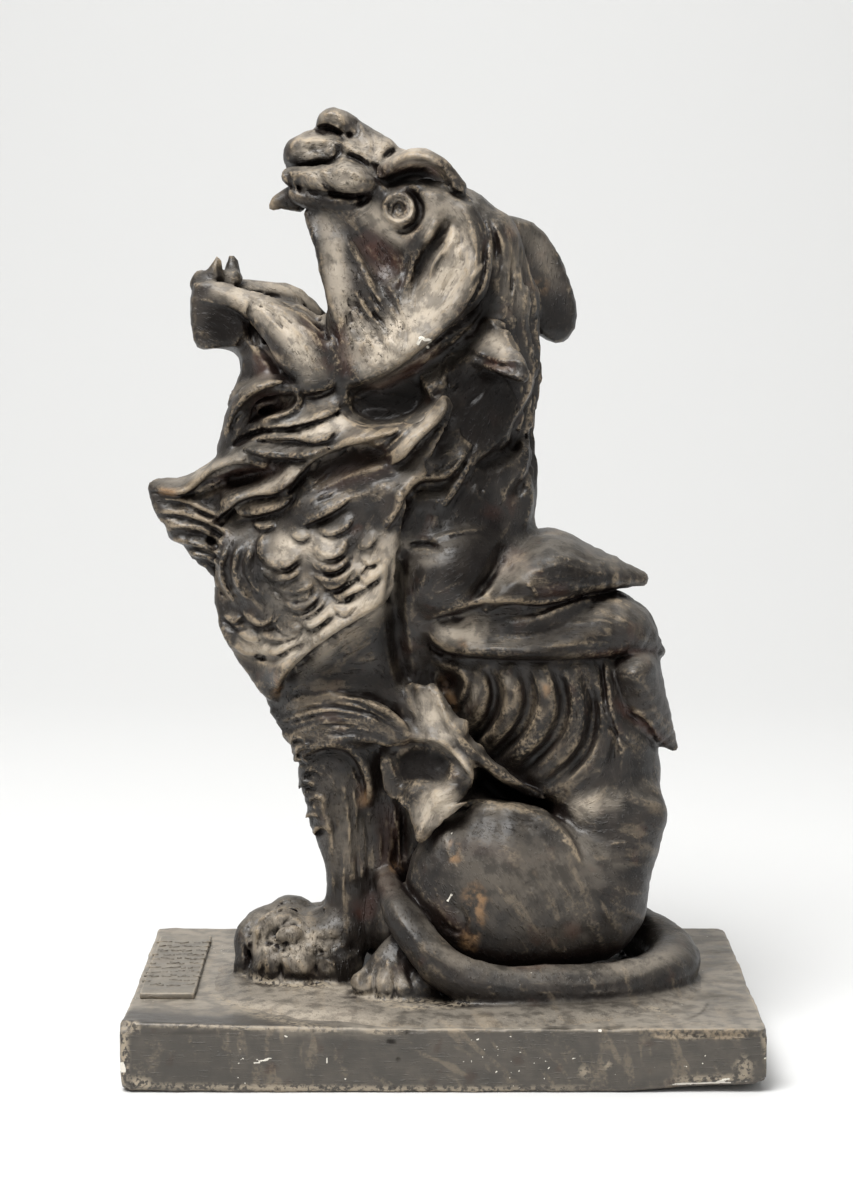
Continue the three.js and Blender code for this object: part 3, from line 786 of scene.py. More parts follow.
groove([(512, 500), (518, 488), (526, 484)], 9, 3)
ledge([(526, 530), (532, 512), (534, 495), (530, 478)], 9, 2, under=2)
strands([(420, 505), (415, 520), (410, 535)], [(500, 500), (498, 515), (494, 528)], 8, 4, 0.9, 22)
groove([(408, 546), (424, 544), (442, 550)], 4, 2.5)
ridge([(430, 540), (450, 534), (475, 530), (492, 532)], 4, 1.5)
print("mane carved")

# %% Strokes on the breastplate
SCALE_EDGES = [
    [(262, 532), (257, 548), (262, 562), (276, 568), (292, 565), (301, 553)],
    [(311, 548), (320, 559), (335, 559), (347, 551), (351, 540)],
    [(308, 562), (320, 571), (336, 571), (352, 561)],
    [(312, 575), (325, 582), (342, 580), (358, 568)],
    [(318, 589), (336, 588), (352, 580), (370, 565)],
    [(338, 598), (356, 593), (373, 583), (384, 571)],
    [(272, 584), (284, 592), (299, 593), (314, 586)],
    [(282, 602), (295, 609), (309, 606), (318, 597)],
    [(286, 614), (301, 619), (316, 612), (327, 602)],
    [(241, 610), (249, 622), (262, 627), (274, 623), (282, 613)],
    [(298, 622), (311, 629), (325, 621), (340, 610)],
    [(222, 616), (233, 623), (244, 617)],
    [(260, 634), (275, 641), (291, 638), (303, 628)],
    [(236, 632), (248, 641), (261, 642)],
    [(262, 654), (276, 656), (290, 648), (310, 638)],
    [(232, 646), (244, 655), (258, 657)],
    [(226, 545), (219, 565), (222, 586), (233, 602)],
    [(237, 543), (231, 565), (235, 586), (248, 602)],
    [(250, 546), (244, 566), (249, 582), (262, 597)],
    [(262, 572), (272, 580), (288, 580), (302, 572)],
    [(316, 530), (330, 536), (346, 530), (356, 518)],
    [(356, 548), (368, 548), (380, 536)],
    [(290, 534), (300, 541), (312, 536)],
    [(252, 524), (262, 530), (276, 526)],
]
for edge in SCALE_EDGES:
    ledge(edge, 9, 2.4, under=2)
dent(292, 558, 5, 1.5)
strands([(221, 548), (215, 570), (219, 592), (236, 612)], [(262, 544), (257, 562), (262, 580), (280, 594)], 9, 2.2, 1.2, 33)
strands([(234, 645), (258, 662), (276, 672)], [(250, 655), (290, 668), (330, 640), (380, 602)], 5, 2.5, 1, 31)
ledge([(276, 702), (284, 676), (310, 652), (340, 630), (388, 601)], 14, 3.5, under=3)
ledge([(386, 604), (387, 580), (390, 556)], 12, 2, under=3)
strands([(372, 520), (350, 560), (330, 620)], [(392, 520), (384, 560), (378, 600)], 6, 2.5, 0.8, 32)
print("breastplate carved")

SCALE_ARCS = [
    [(258, 553), (271, 566), (287, 570), (303, 556)],
    [(277, 560), (286, 568), (297, 557)],
    [(313, 548), (326, 558), (341, 554), (350, 536)],
    [(314, 562), (327, 571), (341, 568), (352, 554)],
    [(314, 577), (328, 589), (341, 587), (353, 569)],
    [(277, 590), (290, 600), (307, 597), (314, 582)],
    [(281, 603), (297, 612), (312, 606), (322, 592)],
    [(327, 590), (341, 601), (358, 590)],
    [(297, 615), (308, 628), (323, 621), (333, 608)],
    [(330, 606), (344, 616), (358, 604)],
    [(246, 614), (257, 626), (270, 622), (275, 609)],
    [(272, 622), (284, 634), (297, 630)],
    [(225, 618), (236, 628), (248, 626)],
    [(356, 574), (366, 584), (380, 576)],
    [(358, 556), (368, 566), (382, 560)],
]
for arc in SCALE_ARCS:
    ledge(arc, 7, 1.2, under=1.6)
    groove([(column + 1, row + 2) for column, row in arc], 2.2, 1.2)

# %% Strokes on the shoulder, the elbow and the foreleg
groove([(396, 560), (394, 600), (398, 640), (406, 690)], 12, 5)
strands([(276, 706), (330, 696), (376, 708), (406, 730)], [(292, 742), (330, 736), (370, 738), (396, 752)], 11, 2.5, 1.6, 41)
ledge([(392, 712), (370, 701), (345, 697), (318, 700)], 8, 1.5, under=2)
ledge([(300, 758), (325, 748), (348, 752), (362, 772), (368, 800)], 10, 2.5, under=3)
strands([(316, 760), (330, 800), (336, 900)], [(356, 765), (366, 800), (374, 900)], 13, 3, 1.3, 42)
strands([(330, 850), (334, 880), (336, 915)], [(372, 850), (372, 880), (370, 915)], 9, 2.5, 0.8, 47)
chance = np.random.default_rng(46)
for column, row in [(298, 744), (306, 756), (300, 768), (312, 778), (306, 790), (316, 804), (312, 822), (322, 834)]:
    turn = chance.uniform(-0.6, 0.9)
    curl = [(math.cos(a), math.sin(a)) for a in np.linspace(turn + 2.2, turn + 5.6, 5)]
    wide = chance.uniform(6, 9)
    ledge([(column + wide * c, row + 0.8 * wide * d) for c, d in curl], 5, chance.uniform(1.5, 2.5), under=2.5)
strands([(345, 765), (350, 776), (346, 792)], [(356, 764), (362, 778), (360, 796)], 3, 2, 1.2, 43)
ridge([(366, 765), (372, 784), (368, 804)], 7, 2.5)
ledge([(412, 742), (436, 742), (456, 758), (474, 782)], 12, 3, under=3)
groove([(400, 790), (404, 830), (400, 870)], 9, 3)
strands([(376, 790), (382, 840), (384, 900)], [(404, 800), (404, 850), (402, 900)], 5, 3, 1.5, 45)
groove([(394, 770), (420, 762), (450, 770)], 24, 8)
strands([(392, 764), (420, 756), (456, 772)], [(398, 790), (424, 786), (448, 792)], 4, 3, 1.5, 48)
ridge([(420, 842), (424, 818), (436, 800), (458, 792)], 12, 2)
strands([(402, 660), (412, 700), (420, 740)], [(440, 668), (452, 710), (462, 745)], 4, 2.5, 0.7, 44)
print("legs carved")

# %% Strokes on the back and the ribs
ledge([(425, 622), (450, 612), (480, 604), (510, 603), (545, 604), (590, 594), (630, 587)], 15, 3, under=3)
ledge([(634, 608), (618, 598), (604, 595), (582, 598), (560, 606), (540, 614), (500, 619)], 12, 2, under=1.5)
ledge([(430, 648), (460, 654), (500, 658), (560, 659), (610, 656), (656, 649)], 12, 2, under=3)
groove([(424, 634), (432, 646), (446, 654)], 5, 2)
groove([(490, 620), (520, 618), (550, 612)], 5, 1.5)
ledge([(602, 655), (605, 680), (610, 710), (618, 740), (619, 775)], 12, 2, under=2)
ledge([(628, 712), (640, 716), (650, 726), (660, 745)], 8, 1.2, under=1.5)
strands([(520, 560), (560, 545), (600, 560), (638, 576)], [(500, 595), (550, 590), (600, 582), (634, 582)], 7, 2.5, 0.9, 51)
strands([(540, 620), (580, 606), (620, 606), (656, 640)], [(500, 650), (560, 650), (610, 646), (655, 646)], 8, 2.5, 0.9, 52)
RIBS = [
    [(474, 668), (480, 692), (473, 714), (458, 732)],
    [(504, 666), (513, 692), (505, 722), (478, 752)],
    [(538, 666), (548, 698), (537, 732), (500, 768)],
    [(570, 668), (580, 706), (569, 744), (532, 782)],
    [(597, 672), (606, 720), (596, 760), (566, 792)],
]
for rib in RIBS:
    ridge(rib, 12, 3, ends=0.25)
for left, right in zip(RIBS, RIBS[1:]):
    groove((np.array(left) + np.array(right)) / 2, 9, 3.5, ends=0.25)
groove([(601, 662), (604, 690), (606, 722)], 3, 2)
groove([(606, 722), (624, 740), (640, 748)], 3, 1.5)
groove([(504, 545), (494, 568), (478, 590), (462, 604)], 10, 3.5)
ridge([(484, 598), (500, 588), (520, 576)], 14, 2)
ridge([(526, 583), (533, 588), (538, 597)], 3, 2)
dent(448, 682, 13, 3.5)
ridge([(440, 664), (456, 668), (466, 682), (460, 700), (448, 706)], 5, 2)
ledge([(584, 866), (574, 843), (561, 827), (546, 814), (520, 802), (478, 799), (440, 808)], 18, 3.5, under=4)
strands([(505, 806), (530, 816), (556, 838)], [(500, 818), (526, 830), (545, 850)], 5, 1.8, 0.6, 53)
strands([(420, 850), (440, 900), (480, 940)], [(560, 860), (590, 900), (600, 940)], 7, 5, 0.5, 54)
groove([(440, 912), (446, 926), (458, 932), (466, 922), (460, 910), (448, 908)], 3, 1.2)
dent(530, 886, 6, 1.5)
dent(536, 902, 4, 1)
strands([(596, 830), (630, 826), (655, 838)], [(600, 870), (630, 868), (655, 870)], 5, 3, 0.7, 55)
ridge([(432, 690), (441, 706), (452, 726), (467, 747), (492, 768), (520, 786), (536, 798)], 6, 3)
groove([(455, 730), (470, 751), (495, 771), (520, 788)], 2.5, 1.5)
groove([(478, 784), (500, 792), (530, 800), (556, 808)], 12, 6)
print("back carved")

# %% Tool marks along the strokes
roughness = Carving()
roughness.high += 0.5
roughness.ridge([(330, 300), (370, 330), (410, 340)], 50, 0.9)
roughness.ridge([(300, 145), (350, 170), (380, 180)], 44, 1.0)
roughness.ridge([(360, 240), (390, 300)], 40, 0.4)
roughness.ridge([(190, 500), (200, 540), (215, 560)], 45, 1.0)
roughness.ridge([(240, 400), (300, 460), (260, 510)], 50, 0.6)
roughness.ridge([(250, 560), (290, 620), (270, 660)], 50, 0.7)
roughness.ridge([(280, 690), (300, 760), (320, 830)], 34, 1.2)
roughness.ridge([(250, 940), (290, 950), (340, 970)], 45, 0.8)
roughness.ridge([(300, 340), (315, 380)], 26, 0.8)
roughness.ridge([(450, 870), (520, 880), (590, 880)], 80, -0.25)
roughness.ridge([(440, 970), (520, 990), (640, 985)], 26, -0.3)
roughness.ridge([(210, 320), (235, 330)], 30, -0.2)
roughness.ridge([(560, 720), (620, 700)], 60, 0.3)
roughness.ridge([(400, 600), (460, 560)], 50, -0.2)
angles = stroke_angles(carving.strokes)
streaks = 0.7 * smeared(angle=angles, grain=1.6, reach=12, seed=61) + 0.7 * smeared(angles, 3.2, 20, 62)
STREAK_HEIGHT = 0.45
hand = np.random.default_rng(65)
MARKS = 1100
for _ in range(MARKS):
    start = np.array([hand.uniform(185, 675), hand.uniform(115, 985)])
    path = [start]
    reach = hand.uniform(4, 10)
    for _ in range(2):
        way = float(sample(angles, *path[-1])) + hand.normal(0, 0.3)
        path.append(path[-1] + reach * np.array([math.cos(way), math.sin(way)]))
    depth = hand.uniform(-1.1, 0.8) * float(sample(roughness.high, *start))
    carving.ridge(path, hand.uniform(2.5, 5.0), depth)
RELIEF = 1.3
carving.high = RELIEF * carving.high + STREAK_HEIGHT * roughness.high * streaks
press(half, lambda x, y, z: sample(carving.high, *shown(x, y, z)))
print("near half carved, streaks up to", float(np.abs(STREAK_HEIGHT * streaks).max()), "mm")

# %% Mirror the half
whole = Clay(CLAY_LOW, CLAY_HIGH, CELL)
whole.field = np.concatenate([half.field, half.field[:, ::-1]], axis=1)
whole.lines = (half.lines[0], np.concatenate([half.lines[1], 2 * MIDDLE - half.lines[1][:, ::-1]], axis=1), half.lines[2])
print("whole block", whole.field.shape)

# %% Forms that differ from side to side
TAIL = [
    [612, 915, 58, 14, 14],
    [670, 952, 10, 15, 15],
    [662, 974, -26, 15, 15],
    [620, 986, -48, 14, 14],
    [560, 989, -59, 13.5, 13],
    [500, 988, -64, 12.5, 12],
    [452, 973, -64, 12, 12],
    [422, 944, -60, 11, 12],
    [402, 914, -48, 10, 11],
    [392, 892, -28, 8, 9],
    [386, 872, -6, 6, 7],
]
limb(whole, TAIL, soft=3)
FAR_EAR = [
    [488, 223, 30],
    [522, 219, 42],
    [548, 237, 50],
    [566, 270, 52],
    [577, 316, 50],
    [562, 343, 48],
    [540, 335, 44],
    [510, 300, 36],
]
sheet(whole, FAR_EAR, 12, soft=10, bulge=4)
NEAR_EAR = [
    [460, 352, -2],
    [474, 326, -6],
    [496, 320, -16],
    [514, 340, -28],
    [528, 368, -38],
    [524, 383, -40],
    [502, 376, -37],
    [476, 364, -24],
]
FAR_RIM = [[208, 285, 26, 4, 5], [246, 287, 30, 4.5, 7], [296, 299, 36, 6, 9], [328, 338, 42, 8, 9]]
limb(whole, FAR_RIM, soft=3)
JAW_INSIDE = [[262, 304, 14, 5, 16], [300, 319, 14, 7, 24], [332, 354, 14, 8, 26]]
limb(whole, JAW_INSIDE, soft=4)
JAW_TROUGH = [[240, 286, 2, 1.5, 6], [264, 292, 2, 3, 9], [292, 303, 2, 1.5, 9]]
limb(whole, JAW_TROUGH, soft=1, cut=True)
TEETH = [
    [[216, 276, 6, 6, 5], [217, 268, 6, 4, 4], [218, 259, 7, 1.8, 1.8]],
    [[234, 278, 18, 6, 5], [233, 268, 18, 4.5, 4], [232, 258, 19, 2, 1.8]],
    [[199, 284, 9, 5, 5], [199, 275, 9, 3, 3]],
    [[205, 280, 8, 5, 6], [232, 278, 14, 5, 6]],
]
for tooth in TEETH:
    limb(whole, tooth, soft=2)
sheet(whole, NEAR_EAR, 10, soft=9)


NEAR_PAW = [[344, 932, -6, 15, 14], [318, 940, -10, 14, 16], [294, 950, -10, 14, 16], [280, 958, -8, 12, 14]]
FAR_PAW = [[322, 921, 32, 9, 14], [288, 918, 28, 9, 15], [260, 932, 20, 9, 15]]
SOLE = [[268, 964, -10, 10, 13], [302, 964, -12, 11, 13], [346, 962, -12, 10, 12]]
for stations in (NEAR_PAW, FAR_PAW, SOLE):
    limb(whole, stations, soft=7)
TOES = [
    [[300, 927, -12, 7, 7], [282, 921, -15, 7, 8], [268, 930, -14, 7, 8], [260, 946, -10, 7, 7]],
    [[288, 948, -18, 6, 7], [273, 953, -22, 7, 7], [270, 966, -23, 7, 7], [275, 977, -21, 5, 6]],
    [[314, 954, -22, 6, 7], [300, 960, -26, 8, 8], [300, 972, -26, 8, 7]],
    [[340, 958, -20, 6, 7], [332, 966, -24, 8, 8], [334, 974, -24, 7, 7]],
    [[264, 920, 10, 6, 8], [249, 932, 4, 7, 8], [247, 950, 2, 7, 8], [252, 962, 2, 6, 7]],
]
for toe in TOES:
    limb(whole, toe, soft=7)
ball(whole, [291, 909, 14], [12, 8, 14], 0, soft=5)
ball(whole, [264, 920, 12], [10, 7, 10], 0, soft=5)
ball(whole, [310, 923, 4], [24, 9, 18], 0, soft=7)
TOE_TIPS = [([248, 965, -3], [8, 8, 8]), ([264, 972, -16], [8, 8, 8]), ([292, 977, -23], [11, 8, 8]), ([329, 976, -20], [13, 8, 8])]
for place, sizes in TOE_TIPS:
    ball(whole, place, sizes, soft=3)
ball(whole, [290, 934, -26], [7.5, 4.5, 4], 5, soft=3)
print("tail, ears and paws added")

# %% Strokes on the parts that differ from side to side
carving = Carving()
groove, ridge, ledge, dent, strands = carving.groove, carving.ridge, carving.ledge, carving.dent, carving.strands

# near ear
ledge([(468, 348), (484, 358), (502, 363), (520, 364)], 9, 2, under=2)
ledge([(480, 366), (500, 374), (514, 379), (526, 382)], 6, 1.5, under=2)
strands([(474, 342), (492, 348), (514, 360)], [(488, 326), (502, 336), (516, 354)], 5, 2, 0.8, 63)
dent(502, 366, 5, 1.5)
dent(512, 371, 4, 1.5)
# tail
strands([(440, 958), (520, 975), (620, 972), (680, 945)], [(440, 990), (520, 1000), (620, 1000), (688, 975)], 6, 3, 0.7, 61)
ridge([(388, 895), (402, 922), (425, 950), (460, 974)], 4, 1)
# near forepaw: toes, claws and the cleft behind them
groove([(304, 950), (322, 955), (340, 954), (358, 944)], 7, 2)
groove([(276, 942), (286, 945), (300, 944)], 3, 0.8)
ledge([(305, 936), (302, 922), (292, 914), (279, 914), (267, 924)], 5, 1.5, under=1.5)
ridge([(268, 938), (266, 924), (276, 912), (292, 909), (304, 913)], 4, 1.5)
ridge([(258, 944), (256, 928), (264, 914)], 5, 1.5)
groove([(251, 968), (251, 950), (254, 934)], 3, 2)
ridge([(244, 964), (243, 948), (247, 934)], 4, 1.5)
ridge([(268, 968), (264, 956), (268, 944)], 5, 2)
ridge([(288, 976), (286, 964), (280, 952)], 6, 2.5)
ridge([(306, 976), (300, 964), (292, 954)], 6, 2)
ridge([(334, 972), (330, 962), (318, 956)], 6, 2)
ledge([(262, 944), (274, 942), (286, 948), (304, 958)], 5, 1.5, under=1.5)
groove([(262, 976), (264, 962), (262, 950)], 3, 2)
ridge([(272, 945), (277, 950)], 2.5, 2, ends=0.1)
ridge([(283, 959), (285, 966)], 2.5, 2, ends=0.1)
groove([(282, 980), (281, 968), (286, 960)], 3, 1.5)
groove([(290, 975), (300, 979), (312, 976)], 3, 1.5)
groove([(318, 976), (316, 966), (320, 960)], 3, 1.5)
strands([(262, 918), (256, 940), (258, 962)], [(344, 930), (340, 950), (340, 976)], 12, 2, 0.8, 67)
strands([(300, 924), (322, 926), (350, 934)], [(304, 944), (326, 946), (350, 946)], 5, 2.5, 1, 64)
strands([(262, 958), (266, 968), (272, 976)], [(276, 956), (278, 966), (282, 974)], 3, 1.5, 1, 66)
strands([(258, 934), (268, 912), (290, 900), (312, 908)], [(284, 930), (292, 918), (304, 914), (334, 920)], 5, 3, 1.6, 68)
strands([(306, 930), (322, 936), (342, 934)], [(312, 948), (328, 950), (350, 944)], 4, 2.5, 1.2, 69)
# far forepaw
ledge([(272, 912), (280, 904), (292, 902), (304, 908)], 5, 1, under=1)
ledge([(262, 922), (270, 914), (284, 909), (300, 912)], 5, 1.5, under=1.5)
groove([(246, 930), (256, 924), (264, 922)], 3, 1.5)
groove([(240, 944), (246, 936), (256, 934)], 3, 1.2)
strands([(242, 935), (243, 950), (246, 966)], [(258, 930), (260, 948), (260, 964)], 4, 2, 1.2, 62)
ledge([(304, 914), (316, 909), (328, 910)], 4, 1, under=1)
# hind paw
groove([(376, 1000), (374, 982), (380, 962)], 3.5, 2.5)
groove([(397, 1002), (394, 984), (394, 966)], 3.5, 2)
groove([(416, 1000), (412, 984), (406, 966)], 3.5, 2)
strands([(392, 944), (372, 965), (360, 985)], [(402, 944), (412, 965), (424, 985)], 9, 2.5, 1, 65)
groove([(362, 988), (364, 976), (372, 970)], 5, 2.5)
ridge([(386, 974), (384, 984), (388, 992)], 3, 1.2)
press(whole, lambda x, y, z: sample(carving.high, *shown(x, y, z)))
print("tail, ears and paws carved")

# %% [markdown]
# The mane runs on down the back of the neck, which the photo doesn't show. Its locks are drawn there as they fall
# on the near side, in long waves that end over the shoulder plate. Their sheet counts half millimetres across the
# neck and up, and is pressed on what looks backwards.

# %% Strokes on the back of the neck
nape = Carving(260, 1050)
PER_MM = 2
NAPE_LEFT = -50
LOCKS_ON_NAPE = 12
chance = np.random.default_rng(94)
for k in range(LOCKS_ON_NAPE):
    column = 34 + 12 * k
    top = 905 - 5 * abs(k - LOCKS_ON_NAPE // 2)
    low = chance.uniform(575, 660)
    sway = chance.uniform(-16, 16)
    thirds = (2 * top + low) / 3, (top + 2 * low) / 3
    path = [(column, top), (column + sway, thirds[0]), (column - sway, thirds[1]), (column + sway / 2, low)]
    nape.groove(path, 5, chance.uniform(1.6, 3.0))
    nape.ridge([(c + 6, r) for c, r in path], 7, chance.uniform(0.2, 0.8))
nape.strands([(60, 560), (70, 480), (60, 400)], [(200, 560), (190, 480), (200, 400)], 9, 6, 0.8, 95)
press(whole, lambda x, y, z: sample(nape.high, PER_MM * (y - NAPE_LEFT), PER_MM * z), (0, 1))
print("back of the neck carved,", LOCKS_ON_NAPE, "locks")

# %% Ground
def slab_rise(x, y):
    """How much the slab's top stands up towards its front left corner, in millimetres."""
    return 3.2 * np.clip((-30 - x) / 130, 0, 1) * np.clip((-60 - y) / 50, 0, 1) ** 1.5


part, (x, y, z) = whole.window(CLAY_LOW, [CLAY_HIGH[0], CLAY_HIGH[1], SLAB_TOP + 20])
GROUND_CENTRE = (8.0, -6.0)
GROUND_HALF = (142.0, 107.5)
GROUND_CORNERS = 2.4
GROUND_HEIGHT = 2.6
GROUND_SLOPE = 14.0
plan = sum((np.abs(v - c) / h) ** GROUND_CORNERS for v, c, h in zip((x, y), GROUND_CENTRE, GROUND_HALF))
inwards = (1 - plan ** (1 / GROUND_CORNERS)) * GROUND_HALF[1]
BEDDED = 1.5
ground_top = SLAB_TOP + slab_rise(x, y) - BEDDED + (GROUND_HEIGHT + BEDDED) * np.clip(inwards / GROUND_SLOPE, 0, 1) ** 0.7
ground = np.maximum(-inwards, (z - ground_top) * 0.9)
whole.add(part, ground.astype(np.float32), 4.0)
below = (whole.lines[2] - (SLAB_TOP - BEDDED - 0.5)).astype(np.float32)
whole.field = np.maximum(whole.field, -below)
print("ground added")

# %% [markdown]
# Hand work is never smooth. Fingers and wooden tools leave soft lumps a few millimetres wide everywhere, so a
# little noise of three sizes goes into the clay before it is cast.

# %% Marks of the hand
def lumps(x, y, z, size, seed):
    """Smooth noise from -1 to 1 whose lumps are about `size` millimetres."""
    lattice = np.random.default_rng(seed).uniform(-1, 1, (64, 64, 64)).astype(np.float32)
    first, share = [], []
    for values in (x, y, z):
        place = values / size + 1000.0
        floor = np.floor(place)
        part = (place - floor).astype(np.float32)
        first.append(floor.astype(int) % 64)
        share.append(part * part * (3 - 2 * part))
    total = 0
    for a in (0, 1):
        for b in (0, 1):
            for c in (0, 1):
                weight = (share[0] if a else 1 - share[0]) * (share[1] if b else 1 - share[1])
                weight = weight * (share[2] if c else 1 - share[2])
                total = total + weight * lattice[(first[0] + a) % 64, (first[1] + b) % 64, (first[2] + c) % 64]
    return total


def roughen(clay, marks, coarse=None):
    """Adds lumps of several sizes, given as (size, height, seed), to the clay, more where `coarse` says so."""
    i, j, k = np.nonzero(np.abs(clay.field) < 3.0)
    x, y, z = (line.ravel()[n] for line, n in zip(clay.lines, (i, j, k)))
    amount = 1.0
    if coarse is not None:
        amount = sample(coarse.high, *shown(x, np.minimum(y, 2 * MIDDLE - y), z)).astype(np.float32)
    for size, height, seed in marks:
        clay.field[i, j, k] -= amount * height * lumps(x, y, z, size, seed)


roughen(whole, [(11.0, 1.0, 71), (5.5, 0.7, 72), (3.0, 0.5, 73)], roughness)
print("marks of the hand added")

# %% [markdown]
# Cast the clay. OpenVDB turns the block of distances into a closed skin of small quads, and Decimate then spends
# its triangles where the surface bends. The skin also learns three things about itself that the finish needs
# later: how open each point is to the air, how sharply it bends, and what was painted there.

# %% Cast the clay into a mesh
SIDE_FAVOUR = 0.0004


def make_mesh(name, clay, limit, freely=None):
    """The surface of a block of clay as a mesh in metres, thinned to a limit of triangles, less where not `freely`."""
    grid = openvdb.FloatGrid()
    grid.background = FAR
    grid.copyFromArray(np.ascontiguousarray(clay.field))
    points, quads = grid.convertToQuads(0.0)
    points = (points * clay.cell + clay.low) / 1000
    mesh = bpy.data.meshes.new(name)
    mesh.vertices.add(len(points))
    mesh.vertices.foreach_set("co", points.astype(np.float32).ravel())
    mesh.loops.add(quads.size)
    mesh.loops.foreach_set("vertex_index", quads.astype(np.int32).ravel())
    mesh.polygons.add(len(quads))
    mesh.polygons.foreach_set("loop_start", np.arange(len(quads), dtype=np.int32) * 4)
    mesh.update(calc_edges=True)
    mesh.validate()
    thing = bpy.data.objects.new(name, mesh)
    bpy.context.scene.collection.objects.link(thing)
    if 2 * len(quads) > limit:
        thin = thing.modifiers.new("thin", "DECIMATE")
        thin.ratio = limit / (2 * len(quads))
        if freely is not None:
            group = thing.vertex_groups.new(name="thin more")
            amounts = freely(*points.T * 1000)
            for amount in np.unique(amounts):
                group.add(np.flatnonzero(amounts == amount).tolist(), float(amount), "REPLACE")
            thin.vertex_group = group.name
            thin.vertex_group_factor = SIDE_FAVOUR
        thinned = bpy.data.meshes.new_from_object(thing.evaluated_get(bpy.context.evaluated_depsgraph_get()))
        thing.modifiers.clear()
        thing.data = thinned
    thing.data.shade_smooth()
    print(name, "skin of", 2 * len(quads), "triangles, kept", len(thing.data.polygons), "faces")
    return thing


def distance_at(clay, points):
    """The clay's distance at points between its cells."""
    place = (points - clay.low) / clay.cell
    place = np.clip(place, 0, np.array(clay.field.shape) - 1.001)
    first = place.astype(int)
    share = (place - first).astype(np.float32)
    i, j, k = first.T
    total = 0
    for a in (0, 1):
        for b in (0, 1):
            for c in (0, 1):
                weight = np.abs(1 - a - share[:, 0]) * np.abs(1 - b - share[:, 1]) * np.abs(1 - c - share[:, 2])
                total = total + weight * clay.field[i + a, j + b, k + c]
    return total


def store(mesh, name, values):
    layer = mesh.attributes.new(name, "FLOAT", "POINT")
    layer.data.foreach_set("value", values.astype(np.float32))


WAYS = 6


def learn(thing, clay, paints, tooled=True):
    """Writes openness, bend, the ways of the tool marks and the painted masks to the points of a cast skin."""
    mesh = thing.data
    points = np.empty(len(mesh.vertices) * 3, np.float32)
    mesh.vertices.foreach_get("co", points)
    points = points.reshape(-1, 3) * 1000
    steps = np.eye(3) * clay.cell
    normal = np.stack([distance_at(clay, points + step) - distance_at(clay, points - step) for step in steps], 1)
    normal /= np.linalg.norm(normal, axis=1, keepdims=True) + 1e-6
    reaches = (3.0, 6.0, 11.0, 18.0)
    gaps = [np.clip(distance_at(clay, points + normal * reach) / reach, 0, 1) for reach in reaches]
    store(mesh, "open", np.mean(gaps, axis=0))
    corners = np.array([[a, b, c] for a in (-1, 1) for b in (-1, 1) for c in (-1, 1)]) / math.sqrt(3)
    for name, size in (("bend_fine", 1.8), ("bend_broad", 5.0)):
        around = np.mean([distance_at(clay, points + size * way) for way in [*corners, *np.eye(3), *-np.eye(3)]], axis=0)
        store(mesh, name, around / size)
    store(mesh, "low", np.clip((SLAB_TOP + 9.0 - points[:, 2]) / 5.0, 0, 1))
    near_side = (points[:, 0], np.minimum(points[:, 1], 2 * MIDDLE - points[:, 1]), points[:, 2])
    column, row = shown(*near_side)
    store(mesh, "coarse", np.clip(sample(roughness.high, column, row) / 2, 0, 1) if tooled else 0.08 * np.ones(len(points)))
    store(mesh, "streak", np.clip(sample(streaks, column, row) / 3 + 0.5, 0, 1))
    lean = np.ones(len(points)), np.zeros(len(points))
    if tooled:
        lean = sample(np.cos(2 * angles), column, row), sample(np.sin(2 * angles), column, row)
    for k in range(WAYS):
        way = 2 * math.pi * k / WAYS
        store(mesh, f"way_{k}", np.clip(math.cos(way) * lean[0] + math.sin(way) * lean[1], 0, 1) ** 4)
    for name, sheet_of_paint in paints.items():
        both_sides = tooled and name in ("dust_and_highlight", "painted_shade")
        column, row = shown(*(near_side if both_sides else points.T))
        facing = np.abs(normal[:, 1]) if both_sides else -normal[:, 1]
        store(mesh, name, np.clip(sample(sheet_of_paint.high, column, row), 0, 1) * np.clip(facing * 2 + 0.6, 0, 1))
    print(thing.name, "knows how open it is and how it bends")


# %% [markdown]
# The stains that the years and the making have left are painted as masks in the same view as the strokes, and so are
# light and shade: beige dust with painted highlights on the face, the bright folds and ridges, painted shade under the
# head, in the eye sockets, under the lips, flaps and paws and on the slab beside the tail, ochre and rust where shellac
# and clay show through, white where the plaster is chipped. Everything is a named blob or line, and the material
# decides what each mask looks like.

# %% Painted masks
paints = {name: Carving() for name in ("dust_and_highlight", "ochre", "rust", "painted_shade", "crumbs", "chip")}


def blot(name, column, row, wide, strength=1.0):
    paints[name].dent(column, row, wide, -strength)


def line(name, points, wide, strength=1.0):
    paints[name].ridge(points, wide, strength)


# Pale marks are dust, and painted highlights on lit ridges: the eye ring, the brow, the folds of the cheek and the
# upper edge of the wing.
line("dust_and_highlight", [(340, 150), (400, 150), (440, 152)], 22, 0.75)
line("dust_and_highlight", [(330, 115), (345, 125)], 14, 0.5)
line("dust_and_highlight", [(330, 180), (365, 185)], 18, 0.5)
line("dust_and_highlight", [(425, 190), (448, 230), (450, 270), (426, 310), (392, 345), (358, 375)], 32, 1.0)
line("dust_and_highlight", [(318, 212), (330, 230), (335, 260), (345, 310), (375, 340)], 16, 0.7)
line("dust_and_highlight", [(360, 205), (385, 225), (410, 240)], 16, 0.7)
line("dust_and_highlight", [(210, 284), (260, 305), (300, 345), (315, 385)], 18, 1.0)
line("dust_and_highlight", [(250, 282), (300, 295), (325, 330)], 12, 0.8)
line("dust_and_highlight", [(392, 530), (378, 590), (320, 635), (285, 670)], 30, 1.1)
line("dust_and_highlight", [(275, 545), (335, 547)], 20, 0.8)
line("dust_and_highlight", [(295, 430), (345, 418)], 14, 0.8)
line("dust_and_highlight", [(235, 640), (270, 650)], 18, 0.6)
line("dust_and_highlight", [(420, 690), (436, 720), (452, 745)], 22, 0.9)
